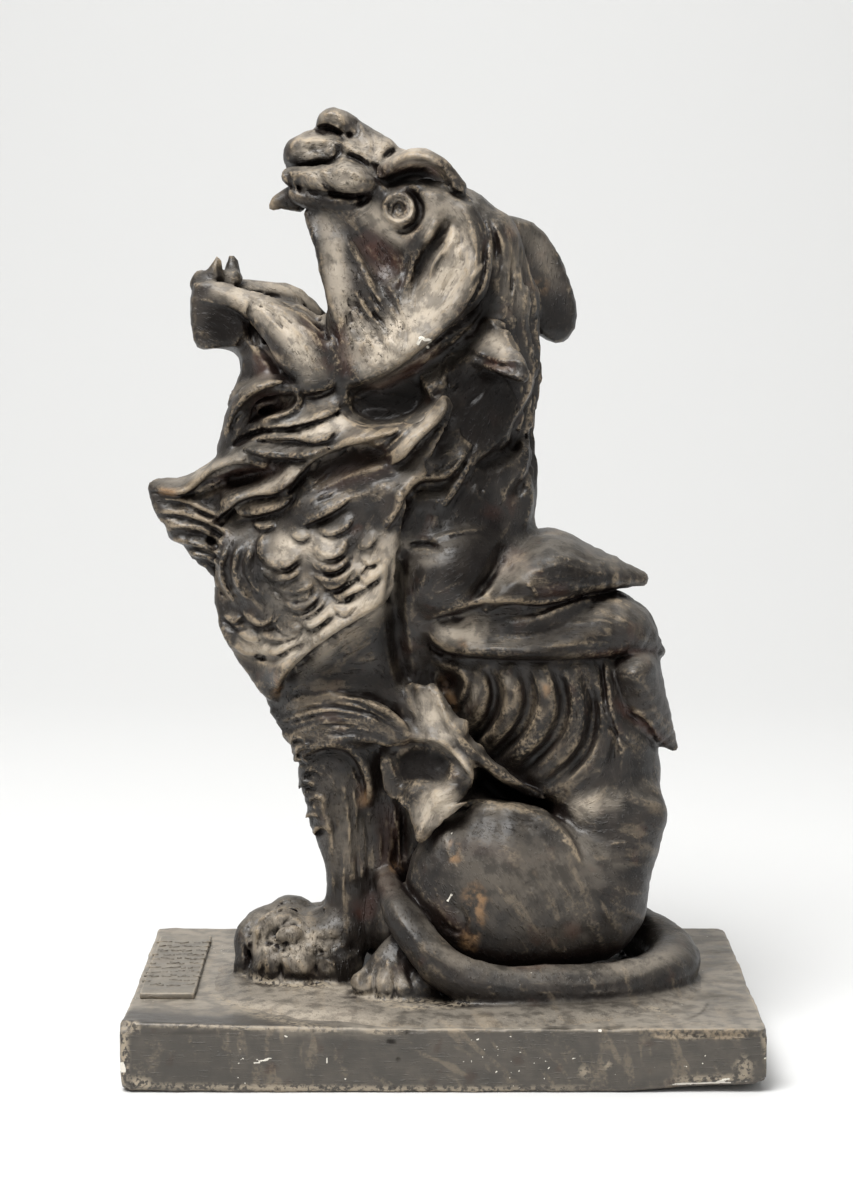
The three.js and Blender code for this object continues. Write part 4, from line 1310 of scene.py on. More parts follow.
line("dust_and_highlight", [(458, 788), (440, 800), (426, 830)], 24, 1.1)
line("dust_and_highlight", [(408, 734), (440, 744), (460, 760), (474, 780)], 5, 1.0)
line("dust_and_highlight", [(436, 634), (462, 630), (488, 634)], 22, 0.9)
line("dust_and_highlight", [(255, 430), (320, 425), (360, 420)], 9, 0.7)
line("dust_and_highlight", [(165, 478), (210, 470), (250, 455)], 9, 0.6)
line("dust_and_highlight", [(225, 510), (260, 490), (300, 470), (360, 440)], 9, 0.7)
line("dust_and_highlight", [(396, 455), (425, 425), (445, 400)], 10, 0.8)
line("dust_and_highlight", [(480, 338), (496, 342), (512, 356)], 12, 0.8)
line("dust_and_highlight", [(386, 202), (398, 197), (410, 203), (410, 214), (398, 220), (388, 214)], 4, 0.9)
line("dust_and_highlight", [(438, 223), (432, 232), (425, 242)], 3, 1.0)
line("dust_and_highlight", [(450, 244), (440, 255), (432, 272)], 3, 1.0)
line("dust_and_highlight", [(470, 279), (480, 268), (488, 261)], 3, 0.8)
line("dust_and_highlight", [(405, 157), (424, 157), (440, 164)], 4, 1.0)
line("dust_and_highlight", [(250, 930), (256, 948), (266, 938)], 9, 0.5)
line("dust_and_highlight", [(300, 942), (320, 936), (340, 936)], 9, 0.6)
line("dust_and_highlight", [(298, 968), (310, 968)], 7, 0.7)
line("dust_and_highlight", [(326, 970), (336, 972)], 6, 0.5)
line("dust_and_highlight", [(396, 978), (410, 982)], 12, 0.5)
line("dust_and_highlight", [(364, 960), (358, 975)], 6, 0.4)
line("dust_and_highlight", [(430, 556), (432, 566)], 16, 0.25)
line("dust_and_highlight", [(482, 598), (490, 596)], 9, 0.7)
line("dust_and_highlight", [(600, 800), (570, 815)], 20, 0.4)
line("dust_and_highlight", [(470, 812), (520, 806)], 12, 0.3)
line("rust", [(362, 230), (380, 255), (396, 278)], 20, 0.9)
# These dark marks are painted shade: under the nose and lower lip, under the head and jaw, in the eye sockets and the
# folds of the cheek, under the wing and the paws, and on the slab beside the tail.
line("painted_shade", [(296, 196), (322, 202), (350, 205)], 17, 0.6)
line("painted_shade", [(300, 160), (320, 160), (336, 158)], 10, 0.5)
line("painted_shade", [(268, 206), (285, 203), (300, 208)], 9, 0.5)
line("painted_shade", [(500, 512), (480, 570), (465, 600)], 16, 0.6)
line("painted_shade", [(440, 440), (460, 420), (490, 410), (500, 440), (460, 510)], 46, 0.4)
line("painted_shade", [(450, 590), (470, 560), (480, 540)], 26, 0.4)
line("painted_shade", [(333, 322), (338, 345), (342, 384)], 10, 0.35)
line("painted_shade", [(352, 398), (378, 412), (404, 402), (430, 384)], 26, 1.0)
line("painted_shade", [(430, 384), (460, 372), (500, 396), (520, 400)], 26, 0.7)
line("painted_shade", [(384, 184), (402, 179), (420, 177), (440, 182), (450, 188)], 9, 1.0)
line("painted_shade", [(410, 192), (420, 206), (417, 222), (403, 231)], 5, 0.9)
line("painted_shade", [(452, 192), (462, 197), (471, 202)], 4, 0.9)
line("painted_shade", [(446, 214), (440, 240), (424, 262), (414, 290)], 9, 0.45)
line("painted_shade", [(498, 262), (490, 296), (466, 322), (430, 346)], 12, 0.75)
line("painted_shade", [(462, 318), (480, 305), (496, 300)], 22, 0.6)
line("painted_shade", [(484, 374), (504, 378), (524, 382)], 8, 0.7)
line("painted_shade", [(550, 300), (560, 325), (562, 340)], 24, 0.5)
line("painted_shade", [(470, 480), (500, 462), (520, 440)], 16, 0.6)
line("painted_shade", [(408, 492), (430, 488), (452, 490)], 14, 0.5)
line("painted_shade", [(392, 772), (424, 768), (450, 778)], 20, 1.2)
line("painted_shade", [(300, 954), (320, 958), (340, 957), (356, 948)], 6, 0.9)
line("painted_shade", [(242, 964), (256, 968)], 9, 0.6)
line("painted_shade", [(364, 985), (368, 976)], 6, 0.7)
line("painted_shade", [(290, 480), (340, 462), (385, 448)], 22, 0.5)
line("painted_shade", [(200, 494), (240, 486), (280, 472)], 14, 0.5)
line("painted_shade", [(268, 406), (285, 402)], 16, 0.4)
line("painted_shade", [(200, 310), (235, 325), (245, 345)], 30, 0.5)
line("painted_shade", [(396, 560), (392, 620), (396, 690)], 22, 0.9)
line("painted_shade", [(300, 690), (350, 660), (380, 630)], 18, 0.3)
line("painted_shade", [(310, 480), (350, 466), (395, 462)], 24, 0.45)
line("painted_shade", [(378, 800), (388, 840), (396, 880), (424, 930), (446, 950)], 14, 0.7)
line("rust", [(384, 800), (392, 840), (390, 900)], 18, 0.7)
line("rust", [(352, 900), (366, 915), (372, 890)], 10, 0.6)
line("rust", [(500, 958), (530, 966), (565, 958)], 6, 0.8)
line("painted_shade", [(440, 790), (500, 790), (560, 805)], 14, 0.7)
line("painted_shade", [(410, 170), (430, 180), (395, 184)], 7, 0.6)
line("dust_and_highlight", [(505, 240), (515, 280), (512, 320)], 22, 0.25)
line("dust_and_highlight", [(520, 225), (545, 250), (555, 290)], 16, 0.25)
line("dust_and_highlight", [(400, 985), (380, 985), (362, 985)], 22, 0.5)
line("dust_and_highlight", [(250, 930), (290, 950), (320, 968)], 26, 0.35)
line("dust_and_highlight", [(570, 815), (600, 800), (625, 800)], 14, 0.5)
line("dust_and_highlight", [(440, 870), (520, 880), (600, 900)], 70, 0.2)
line("dust_and_highlight", [(480, 590), (500, 578), (530, 566)], 20, 0.35)
line("dust_and_highlight", [(478, 682), (472, 700), (464, 712)], 6, 0.6)
line("dust_and_highlight", [(506, 676), (512, 690)], 6, 0.5)
line("dust_and_highlight", [(540, 680), (547, 692)], 6, 0.4)
line("dust_and_highlight", [(340, 770), (345, 830), (352, 880)], 30, 0.2)
line("dust_and_highlight", [(600, 968), (640, 964), (680, 948)], 12, 0.3)
line("dust_and_highlight", [(420, 920), (440, 950), (470, 968)], 10, 0.25)
line("dust_and_highlight", [(270, 975), (330, 985), (380, 998), (430, 1003)], 9, 0.6)
line("rust", [(484, 360), (500, 366), (516, 366)], 7, 0.9)
line("rust", [(495, 505), (488, 520)], 14, 0.7)
line("rust", [(522, 548), (512, 562), (500, 578)], 14, 0.6)
line("rust", [(535, 592), (570, 588)], 10, 0.6)
line("rust", [(612, 700), (640, 722), (668, 746)], 7, 0.8)
line("rust", [(580, 655), (630, 652), (660, 650)], 5, 0.7)
line("rust", [(338, 322), (344, 350), (346, 378)], 10, 0.7)
line("rust", [(312, 482), (350, 466), (392, 456)], 22, 0.7)
line("rust", [(205, 486), (245, 478), (290, 470)], 14, 0.6)
line("rust", [(250, 405), (285, 404)], 16, 0.6)
line("rust", [(262, 350), (270, 380)], 16, 0.6)
line("rust", [(300, 315), (330, 350)], 12, 0.5)
line("rust", [(365, 392), (405, 374), (440, 346)], 9, 0.8)
line("rust", [(392, 172), (415, 168), (440, 174)], 8, 0.8)
line("rust", [(362, 780), (364, 810)], 10, 0.6)
blot("rust", 447, 682, 12, 0.8)
blot("rust", 512, 232, 10, 0.6)
blot("rust", 572, 930, 12, 0.8)
line("ochre", [(455, 843), (454, 862)], 5, 1.0)
line("ochre", [(462, 892), (476, 912), (470, 950)], 9, 0.8)
blot("ochre", 395, 868, 7)
blot("ochre", 462, 643, 5)
blot("ochre", 540, 285, 9, 0.7)
line("ochre", [(158, 490), (178, 494)], 5, 0.9)
line("ochre", [(272, 672), (278, 696)], 6, 0.8)
line("chip", [(420, 331), (418, 348)], 4.5, 1.4)
line("chip", [(420, 338), (434, 341)], 4, 1.4)
line("chip", [(424, 345), (433, 350)], 3, 1.2)
line("chip", [(440, 900), (448, 899), (453, 893)], 1.8, 1.5)
blot("chip", 460, 877, 3, 1.5)
blot("chip", 452, 833, 3, 1.2)
line("chip", [(520, 971), (536, 973)], 2, 1.0)
for row, width in ((940, 5), (953, 4), (966, 6), (982, 4), (998, 5)):
    line("painted_shade", [(688, row), (720, row - 2), (750, row + 1)], width, 0.45)
blot("chip", 600, 1031, 3.5, 1.5)
line("chip", [(250, 1065), (262, 1061), (275, 1057)], 2.6, 1.3)
line("chip", [(570, 1064), (574, 1058), (584, 1056)], 1.8, 1.1)
line("chip", [(640, 1086), (700, 1083), (740, 1082), (758, 1080), (767, 1072)], 2.2, 1.1)
line("crumbs", [(122, 1022), (124, 1050), (123, 1090)], 7, 1.1)
line("crumbs", [(124, 1024), (134, 1024), (134, 1034)], 7, 1.1)
line("crumbs", [(126, 1084), (150, 1086), (240, 1088), (340, 1089), (480, 1090), (600, 1088)], 5, 1.0)
line("crumbs", [(128, 1082), (152, 1084)], 9, 0.9)
line("crumbs", [(670, 1080), (720, 1079), (755, 1076)], 6, 0.8)
line("crumbs", [(736, 1060), (744, 1066), (752, 1072)], 13, 0.75)
line("crumbs", [(762, 1032), (768, 1050), (767, 1064)], 6, 0.8)
line("crumbs", [(660, 1036), (690, 1037), (712, 1035)], 4, 0.7)
line("crumbs", [(362, 1031), (382, 1032), (400, 1031)], 3, 0.9)
line("crumbs", [(140, 1025), (200, 1026), (280, 1029), (340, 1031)], 2.4, 0.9)
line("crumbs", [(578, 1070), (590, 1074)], 8, 0.7)
line("crumbs", [(605, 1062), (610, 1068)], 6, 0.8)
line("crumbs", [(380, 1003), (412, 1007), (430, 1004), (450, 1006), (474, 1001)], 5, 1.0)
line("crumbs", [(236, 974), (262, 980), (290, 986), (320, 985), (352, 990)], 6, 1.0)
line("crumbs", [(206, 978), (214, 996), (250, 1012), (300, 1024), (345, 1030)], 5, 1.1)
line("crumbs", [(352, 990), (380, 1000), (412, 1004), (450, 1004)], 7, 0.8)
line("crumbs", [(640, 1008), (656, 1009), (682, 1019)], 3, 0.9)
line("crumbs", [(656, 1012), (664, 1024)], 2.5, 0.9)
line("crumbs", [(596, 1029), (640, 1028), (690, 1024), (750, 1028)], 3, 0.5)
line("painted_shade", [(540, 1029), (556, 1028), (574, 1029)], 2.5, 1.2)
line("painted_shade", [(602, 1029), (612, 1028), (626, 1026)], 2.5, 1.2)
line("painted_shade", [(709, 1001), (702, 1012), (690, 1018), (682, 1019)], 2, 0.9)
line("painted_shade", [(386, 1041), (396, 1042)], 3, 1.2)
blot("painted_shade", 398, 1059, 3, 1.0)
blot("painted_shade", 407, 1032, 3, 1.0)
line("painted_shade", [(132, 1034), (180, 1033), (250, 1032)], 3, 0.3)
line("painted_shade", [(660, 1034), (720, 1035), (762, 1034)], 6, 0.5)
line("chip", [(716, 1081), (730, 1078), (742, 1077)], 2.5, 1.0)
line("chip", [(282, 1036), (290, 1037)], 2, 1.1)
blot("chip", 240, 1049, 2.5, 1.0)
blot("chip", 616, 1075, 3, 1.0)
line("chip", [(646, 1065), (658, 1068)], 2, 1.0)
line("chip", [(496, 1049), (502, 1051)], 2, 1.0)
line("painted_shade", [(480, 998), (560, 1004), (630, 1000), (680, 988)], 10, 0.7)
line("chip", [(327, 1056), (327, 1065)], 2.2, 1.3)
blot("chip", 345, 1079, 3, 1.3)
line("chip", [(121, 1060), (124, 1075)], 6, 1.2)
blot("chip", 765, 1058, 4, 1.0)
blot("chip", 606, 1065, 4, 0.7)
line("dust_and_highlight", [(294, 142), (316, 140), (334, 146)], 16, 0.7)
line("dust_and_highlight", [(290, 154), (322, 155)], 10, 0.45)
line("dust_and_highlight", [(300, 176), (330, 176), (368, 180)], 20, 0.6)
line("dust_and_highlight", [(318, 118), (330, 116)], 12, 0.4)
line("dust_and_highlight", [(345, 330), (380, 345), (412, 326)], 36, 0.35)
line("dust_and_highlight", [(290, 432), (320, 428), (352, 424)], 14, 0.5)
line("dust_and_highlight", [(265, 552), (300, 556)], 26, 0.5)
line("dust_and_highlight", [(318, 548), (345, 556)], 22, 0.5)
line("dust_and_highlight", [(345, 592), (366, 576), (384, 556)], 34, 0.6)
line("dust_and_highlight", [(240, 636), (270, 650), (300, 646)], 22, 0.5)
line("dust_and_highlight", [(330, 580), (300, 600), (260, 600)], 44, 0.22)
line("dust_and_highlight", [(432, 800), (446, 812), (430, 826)], 24, 0.4)
line("dust_and_highlight", [(244, 940), (275, 930), (305, 946), (330, 962)], 34, 0.45)
line("dust_and_highlight", [(150, 1008), (232, 1012), (300, 1020), (400, 1022)], 20, 0.8)
line("dust_and_highlight", [(250, 992), (310, 996), (360, 1000)], 20, 0.5)
line("painted_shade", [(296, 690), (330, 684), (372, 690), (392, 720)], 30, 0.4)
line("painted_shade", [(320, 740), (345, 780), (350, 850)], 50, 0.3)
line("painted_shade", [(420, 570), (450, 580), (500, 560)], 40, 0.3)
line("painted_shade", [(640, 930), (700, 936), (730, 960)], 26, 0.3)
line("painted_shade", [(690, 990), (730, 1005), (754, 1018)], 20, 0.3)
line("painted_shade", [(706, 950), (726, 985), (744, 1010)], 60, 0.3)
line("ochre", [(468, 886), (478, 900), (474, 912)], 13, 1.3)
line("ochre", [(454, 840), (453, 864)], 7, 1.4)
line("ochre", [(470, 930), (466, 948)], 10, 0.9)
line("ochre", [(360, 795), (370, 802)], 12, 0.7)
line("ochre", [(544, 684), (548, 694)], 5, 0.9)
line("ochre", [(440, 676), (452, 700), (458, 712)], 5, 0.8)
line("painted_shade", [(445, 222), (436, 240), (424, 258), (414, 284)], 8, 0.8)
line("painted_shade", [(448, 251), (438, 262), (431, 278)], 5, 0.9)
line("painted_shade", [(486, 690), (530, 730), (580, 760)], 90, 0.25)
line("painted_shade", [(440, 647), (500, 657), (560, 658), (625, 655)], 11, 0.65)
line("painted_shade", [(505, 570), (520, 590)], 30, 0.45)
line("painted_shade", [(560, 570), (600, 578), (630, 580)], 14, 0.4)
line("chip", [(442, 901), (450, 899), (453, 892)], 2.4, 1.6)
line("dust_and_highlight", [(150, 935), (190, 932), (214, 940), (222, 970)], 14, 0.4)
line("painted_shade", [(205, 318), (225, 330), (240, 338)], 30, 0.6)
line("painted_shade", [(430, 410), (470, 420), (505, 440)], 46, 0.6)
line("painted_shade", [(446, 500), (470, 520), (480, 560)], 46, 0.6)
line("painted_shade", [(520, 575), (560, 570), (600, 575)], 22, 0.35)
line("painted_shade", [(446, 826), (500, 820), (556, 838)], 50, 0.45)
line("painted_shade", [(440, 890), (500, 905), (570, 905)], 70, 0.22)
line("painted_shade", [(505, 640), (560, 634), (620, 626)], 26, 0.7)
line("painted_shade", [(480, 590), (520, 592), (570, 585)], 16, 0.35)
line("painted_shade", [(398, 762), (424, 758), (452, 766)], 22, 0.8)
line("ochre", [(470, 890), (480, 905), (476, 930)], 9, 0.5)
line("rust", [(455, 845), (500, 850), (520, 866)], 12, 0.3)
line("rust", [(430, 900), (460, 930), (470, 950)], 12, 0.4)
print("painted", ", ".join(paints))

# %% The cast lion
LIMIT = 197000


def freely_on_lion(x, y, z):
    amount = np.where(y < MIDDLE, 0.5, 1.0)
    return np.where((y < -30) & (z < SLAB_TOP + 4), 0.3, amount)


lion = make_mesh("lion_figure", whole, LIMIT, freely_on_lion)
learn(lion, whole, paints)

# %% [markdown]
# The slab is a plain block of plaster whose edges have been knocked and worn, more at the corners, and which has
# warped a little, so that its front corners don't touch the table. The same clay block serves for it: a box whose
# edge radius wanders, less the chips.

# %% The slab
SLAB_CELL = 1.25
slab_clay = Clay(SLAB_LOW - 4.0, SLAB_HIGH + 4.0, SLAB_CELL)
x, y, z = slab_clay.lines
radius = 1.4 + 1.1 * np.clip(lumps(*np.broadcast_arrays(x, y, z), 14.0, 81), -0.8, 1)
centre, size = (SLAB_HIGH + SLAB_LOW) / 2, (SLAB_HIGH - SLAB_LOW) / 2
level = z - slab_rise(x, y) * z / SLAB_TOP
qx, qy, qz = (np.abs(v - c) - (h - radius) for v, c, h in zip((x, y, level), centre, size))
outer = np.sqrt(np.maximum(qx, 0) ** 2 + np.maximum(qy, 0) ** 2 + np.maximum(qz, 0) ** 2)
slab_clay.field[:] = outer + np.minimum(np.maximum(np.maximum(qx, qy), qz), 0) - radius
lift = 5.0 * np.clip((x - 78) / (size[0] - 78), 0, 1) ** 1.2 + 1.0 * np.clip((-x - 140) / 30, 0, 1)
lift = lift * np.clip(-y / size[1], 0, 1)
slab_clay.field = np.maximum(slab_clay.field, lift - z)
bevel = 2.0 + 0.9 * lumps(*np.broadcast_arrays(x, 0 * y, 0 * z), 16.0, 85)
slab_clay.field = np.maximum(slab_clay.field, (-y - size[1] + bevel - z + lift) / math.sqrt(2))
CORNER_CHIPS = [
    ([121, 1024, -115], [6, 4, 5]),
    ([120, 1092, -115], [5, 4, 5]),
    ([770, 1085, -115], [7, 4, 6]),
    ([769, 1033, -115], [3, 2.5, 4]),
    ([700, 1034, -116], [34, 3, 1.6]),
    ([392, 1033, -116], [16, 3, 1.2]),
    ([727, 928, 115], [5, 3, 5]),
    ([160, 924, 115], [4, 3, 4]),
]
for place, sizes in CORNER_CHIPS:
    ball(slab_clay, place, sizes, soft=1.0, cut=True)
slab_clay.field = slab_clay.field.astype(np.float32)
roughen(slab_clay, [(18.0, 0.35, 82), (6.0, 0.2, 83), (3.0, 0.12, 84)])
slab = make_mesh("plaster_slab", slab_clay, 190000, lambda x, y, z: np.where((y < -60) & (z > 1), 0.3, 1.0))
learn(slab, slab_clay, paints, tooled=False)

# %% The tablet
TABLET_CELL = 0.75
tablet_clay = Clay(TABLET_LOW - 3.0, TABLET_HIGH + 3.0, TABLET_CELL)
x, y, z = tablet_clay.lines
centre, size = (TABLET_HIGH + TABLET_LOW) / 2, (TABLET_HIGH - TABLET_LOW) / 2
radius = 0.9
qx, qy, qz = (np.abs(v - c) - (h - radius) for v, c, h in zip((x, y, z), centre, size))
outer = np.sqrt(np.maximum(qx, 0) ** 2 + np.maximum(qy, 0) ** 2 + np.maximum(qz, 0) ** 2)
tablet_clay.field[:] = outer + np.minimum(np.maximum(np.maximum(qx, qy), qz), 0) - radius
tablet_clay.field = np.maximum(tablet_clay.field, TABLET_LOW[2] - z)
roughen(tablet_clay, [(9.0, 0.25, 92), (3.0, 0.15, 93)])
tablet = make_mesh("small_tablet", tablet_clay, 40000)
print("tablet plate made")

# %% [markdown]
# The writing on the tablet is worn past reading, and what is left is rows of shallow strokes. They repeat along rows
# with a little chance in each, so a Geometry Nodes tree makes them: a grid of points, a small rounded bar on most of
# them, each turned and stretched by chance. The bars stand 0.4 mm proud and join the tablet as one mesh.

# %% Rows of strokes on the tablet
def stroke_tree():
    tree = bpy.data.node_groups.new("rows of strokes", "GeometryNodeTree")
    sizes = {"Width": 0.026, "Depth": 0.1, "Length": 0.0050, "Thickness": 0.0009, "Height": 0.0014, "Kept": 0.9}
    counts = {"Rows": 12, "Columns": 7, "Seed": 91}
    for name, value in sizes.items():
        tree.interface.new_socket(name, in_out="INPUT", socket_type="NodeSocketFloat").default_value = value
    for name, value in counts.items():
        tree.interface.new_socket(name, in_out="INPUT", socket_type="NodeSocketInt").default_value = value
    tree.interface.new_socket("Material", in_out="INPUT", socket_type="NodeSocketMaterial")
    tree.interface.new_socket("Geometry", in_out="OUTPUT", socket_type="NodeSocketGeometry")
    given = tree.nodes.new("NodeGroupInput").outputs

    def node(kind, links, **settings):
        made = tree.nodes.new(kind)
        for name, value in settings.items():
            setattr(made, name, value)
        for name, value in links.items():
            if isinstance(value, bpy.types.NodeSocket):
                tree.links.new(value, made.inputs[name])
            else:
                made.inputs[name].default_value = value
        return made

    def chance_of(kind, low, high, shift):
        seed = node("ShaderNodeMath", {0: given["Seed"], 1: shift}).outputs[0]
        made = node("FunctionNodeRandomValue", {"Seed": seed}, data_type=kind)
        low_socket, high_socket = [socket for socket in made.inputs if socket.enabled and socket.name in ("Min", "Max")]
        low_socket.default_value = low
        high_socket.default_value = high
        return next(socket for socket in made.outputs if socket.enabled)

    grid = node(
        "GeometryNodeMeshGrid",
        {"Size X": given["Width"], "Size Y": given["Depth"], "Vertices X": given["Columns"], "Vertices Y": given["Rows"]},
    ).outputs["Mesh"]
    nudge = chance_of("FLOAT_VECTOR", (-0.0014, -0.0022, 0.0), (0.0014, 0.0022, 0.0), 1)
    spread = node("GeometryNodeSetPosition", {"Geometry": grid, "Offset": nudge}).outputs["Geometry"]
    size = node("ShaderNodeCombineXYZ", {"X": given["Length"], "Y": given["Thickness"], "Z": given["Height"]}).outputs[0]
    bar = node("GeometryNodeMeshCube", {"Size": size}).outputs["Mesh"]
    roll = chance_of("FLOAT", 0.0, 1.0, 2)
    kept = node("FunctionNodeCompare", {0: roll, 1: given["Kept"]}, data_type="FLOAT", operation="LESS_THAN").outputs[0]
    turn = chance_of("FLOAT_VECTOR", (0.0, 0.0, -0.5), (0.0, 0.0, 0.5), 3)
    stretch = chance_of("FLOAT_VECTOR", (0.5, 0.7, 0.8), (1.3, 1.2, 1.1), 4)
    placed = node(
        "GeometryNodeInstanceOnPoints",
        {"Points": spread, "Selection": kept, "Instance": bar, "Rotation": turn, "Scale": stretch},
    ).outputs["Instances"]
    real = node("GeometryNodeRealizeInstances", {"Geometry": placed}).outputs["Geometry"]
    dressed = node("GeometryNodeSetMaterial", {"Geometry": real, "Material": given["Material"]}).outputs["Geometry"]
    tree.links.new(dressed, tree.nodes.new("NodeGroupOutput").inputs["Geometry"])
    return tree


def grown(name, tree, values):
    """The plain mesh that a Geometry Nodes tree makes, with its inputs set by their identifiers."""
    thing = bpy.data.objects.new(name, bpy.data.meshes.new(name))
    bpy.context.scene.collection.objects.link(thing)
    modifier = thing.modifiers.new(name, "NODES")
    modifier.node_group = tree
    for item in tree.interface.items_tree:
        if item.in_out == "INPUT" and item.name in values:
            modifier[item.identifier] = values[item.name]
    mesh = bpy.data.meshes.new_from_object(thing.evaluated_get(bpy.context.evaluated_depsgraph_get()))
    thing.modifiers.clear()
    bpy.data.objects.remove(thing)
    return mesh


stroke_stuff = bpy.data.materials.new("worn writing")
strokes_mesh = grown("strokes", stroke_tree(), {"Rows": 11, "Seed": 91, "Material": stroke_stuff})
STROKE_TOP = 0.0004
middle = (TABLET_LOW + TABLET_HIGH) / 2000
top = float(TABLET_HIGH[2]) / 1000 + STROKE_TOP - 0.0006
moved = np.empty(len(strokes_mesh.vertices) * 3, np.float32)
strokes_mesh.vertices.foreach_get("co", moved)
moved = moved.reshape(-1, 3) + [middle[0], middle[1], top]
strokes_mesh.vertices.foreach_set("co", moved.astype(np.float32).ravel())
joined = bmesh.new()
joined.from_mesh(tablet.data)
joined.from_mesh(strokes_mesh)
joined.to_mesh(tablet.data)
joined.free()
tablet.data.shade_smooth()
print("strokes", len(strokes_mesh.polygons) // 6, "bars, tablet now", len(tablet.data.polygons), "faces")
learn(tablet, tablet_clay, paints, tooled=False)

# %% [markdown]
# The patina. The real one is shellac and dark paint rubbed over plaster: brown-black, half glossy, a little
# mottled. Dust has settled on what faces up, hands have rubbed the sharp edges back to tan, and where it is knocked
# off the plaster shows white. Hollows and creases are darkened with painted shade, and painted masks add more painted
# shade and painted highlights. Each of these is one layer that a mask mixes over the one below, so the finish stays
# true from every side.

# %% Materials
def linear(code):
    """A colour written as sRGB hex, as the linear values that a shader takes."""
    parts = [int(code[i : i + 2], 16) / 255 for i in (1, 3, 5)]
    return [c / 12.92 if c <= 0.04045 else ((c + 0.055) / 1.055) ** 2.4 for c in parts] + [1.0]


def add_node(tree, kind, inputs=(), **settings):
    """Adds a node; an input is named or numbered, and is given a value or another node's output."""
    node = tree.nodes.new("ShaderNode" + kind)
    for name, value in settings.items():
        setattr(node, name, value)
    for name, value in dict(inputs).items():
        if isinstance(value, bpy.types.NodeSocket):
            tree.links.new(value, node.inputs[name])
        else:
            node.inputs[name].default_value = value
    return node


def noise(tree, place, scale, detail=4.0, rough=0.55):
    inputs = {"Vector": place, "Scale": scale, "Detail": detail, "Roughness": rough}
    return add_node(tree, "TexNoise", inputs).outputs["Fac"]


def between(tree, value, low, high, least=0.0, most=1.0):
    """A value mapped from a range to 0..1 (or another range), smoothly and kept inside it."""
    inputs = {"Value": value, "From Min": low, "From Max": high, "To Min": least, "To Max": most}
    return add_node(tree, "MapRange", inputs, interpolation_type="SMOOTHSTEP").outputs["Result"]


def times(tree, a, b):
    return add_node(tree, "Math", {0: a, 1: b}, operation="MULTIPLY").outputs[0]


def plus(tree, a, b):
    return add_node(tree, "Math", {0: a, 1: b}, operation="ADD", use_clamp=True).outputs[0]


def over(tree, below, above, mask):
    """One colour mixed over another."""
    inputs = {"Factor": mask, "A": below, "B": above}
    node = tree.nodes.new("ShaderNodeMix")
    node.data_type = "RGBA"
    for socket, value in ((node.inputs[0], mask), (node.inputs[6], below), (node.inputs[7], above)):
        if isinstance(value, bpy.types.NodeSocket):
            tree.links.new(value, socket)
        else:
            socket.default_value = value
    return node.outputs[2]


def mask_of(tree, name):
    return add_node(tree, "Attribute", attribute_name=name).outputs["Fac"]


def wrinkles(tree, place, scale):
    """Sharp little ridges, as in clay that was pushed about."""
    inputs = {"Vector": place, "Scale": scale, "Detail": 3.0, "Roughness": 0.6}
    ridged = add_node(tree, "TexNoise", inputs, noise_type="RIDGED_MULTIFRACTAL").outputs["Fac"]
    return between(tree, ridged, 0.3, 1.8)


def tool_drag(tree, place):
    """Fine noise drawn out along the way that the tool went, blended from a few fixed ways."""
    total = 0.0
    weights = 0.001
    for k in range(WAYS):
        turn = math.pi * k / WAYS
        turned = add_node(tree, "Mapping", {"Vector": place, "Rotation": (0, -turn, 0)}).outputs[0]
        drawn = add_node(tree, "Mapping", {"Vector": turned, "Scale": (0.12, 1.0, 1.0)}).outputs[0]
        weight = mask_of(tree, f"way_{k}")
        total = add_node(tree, "Math", {0: times(tree, weight, noise(tree, drawn, 640.0, 2.0, 0.7)), 1: total}).outputs[0]
        weights = add_node(tree, "Math", {0: weight, 1: weights}).outputs[0]
    return add_node(tree, "Math", {0: total, 1: weights}, operation="DIVIDE").outputs[0]


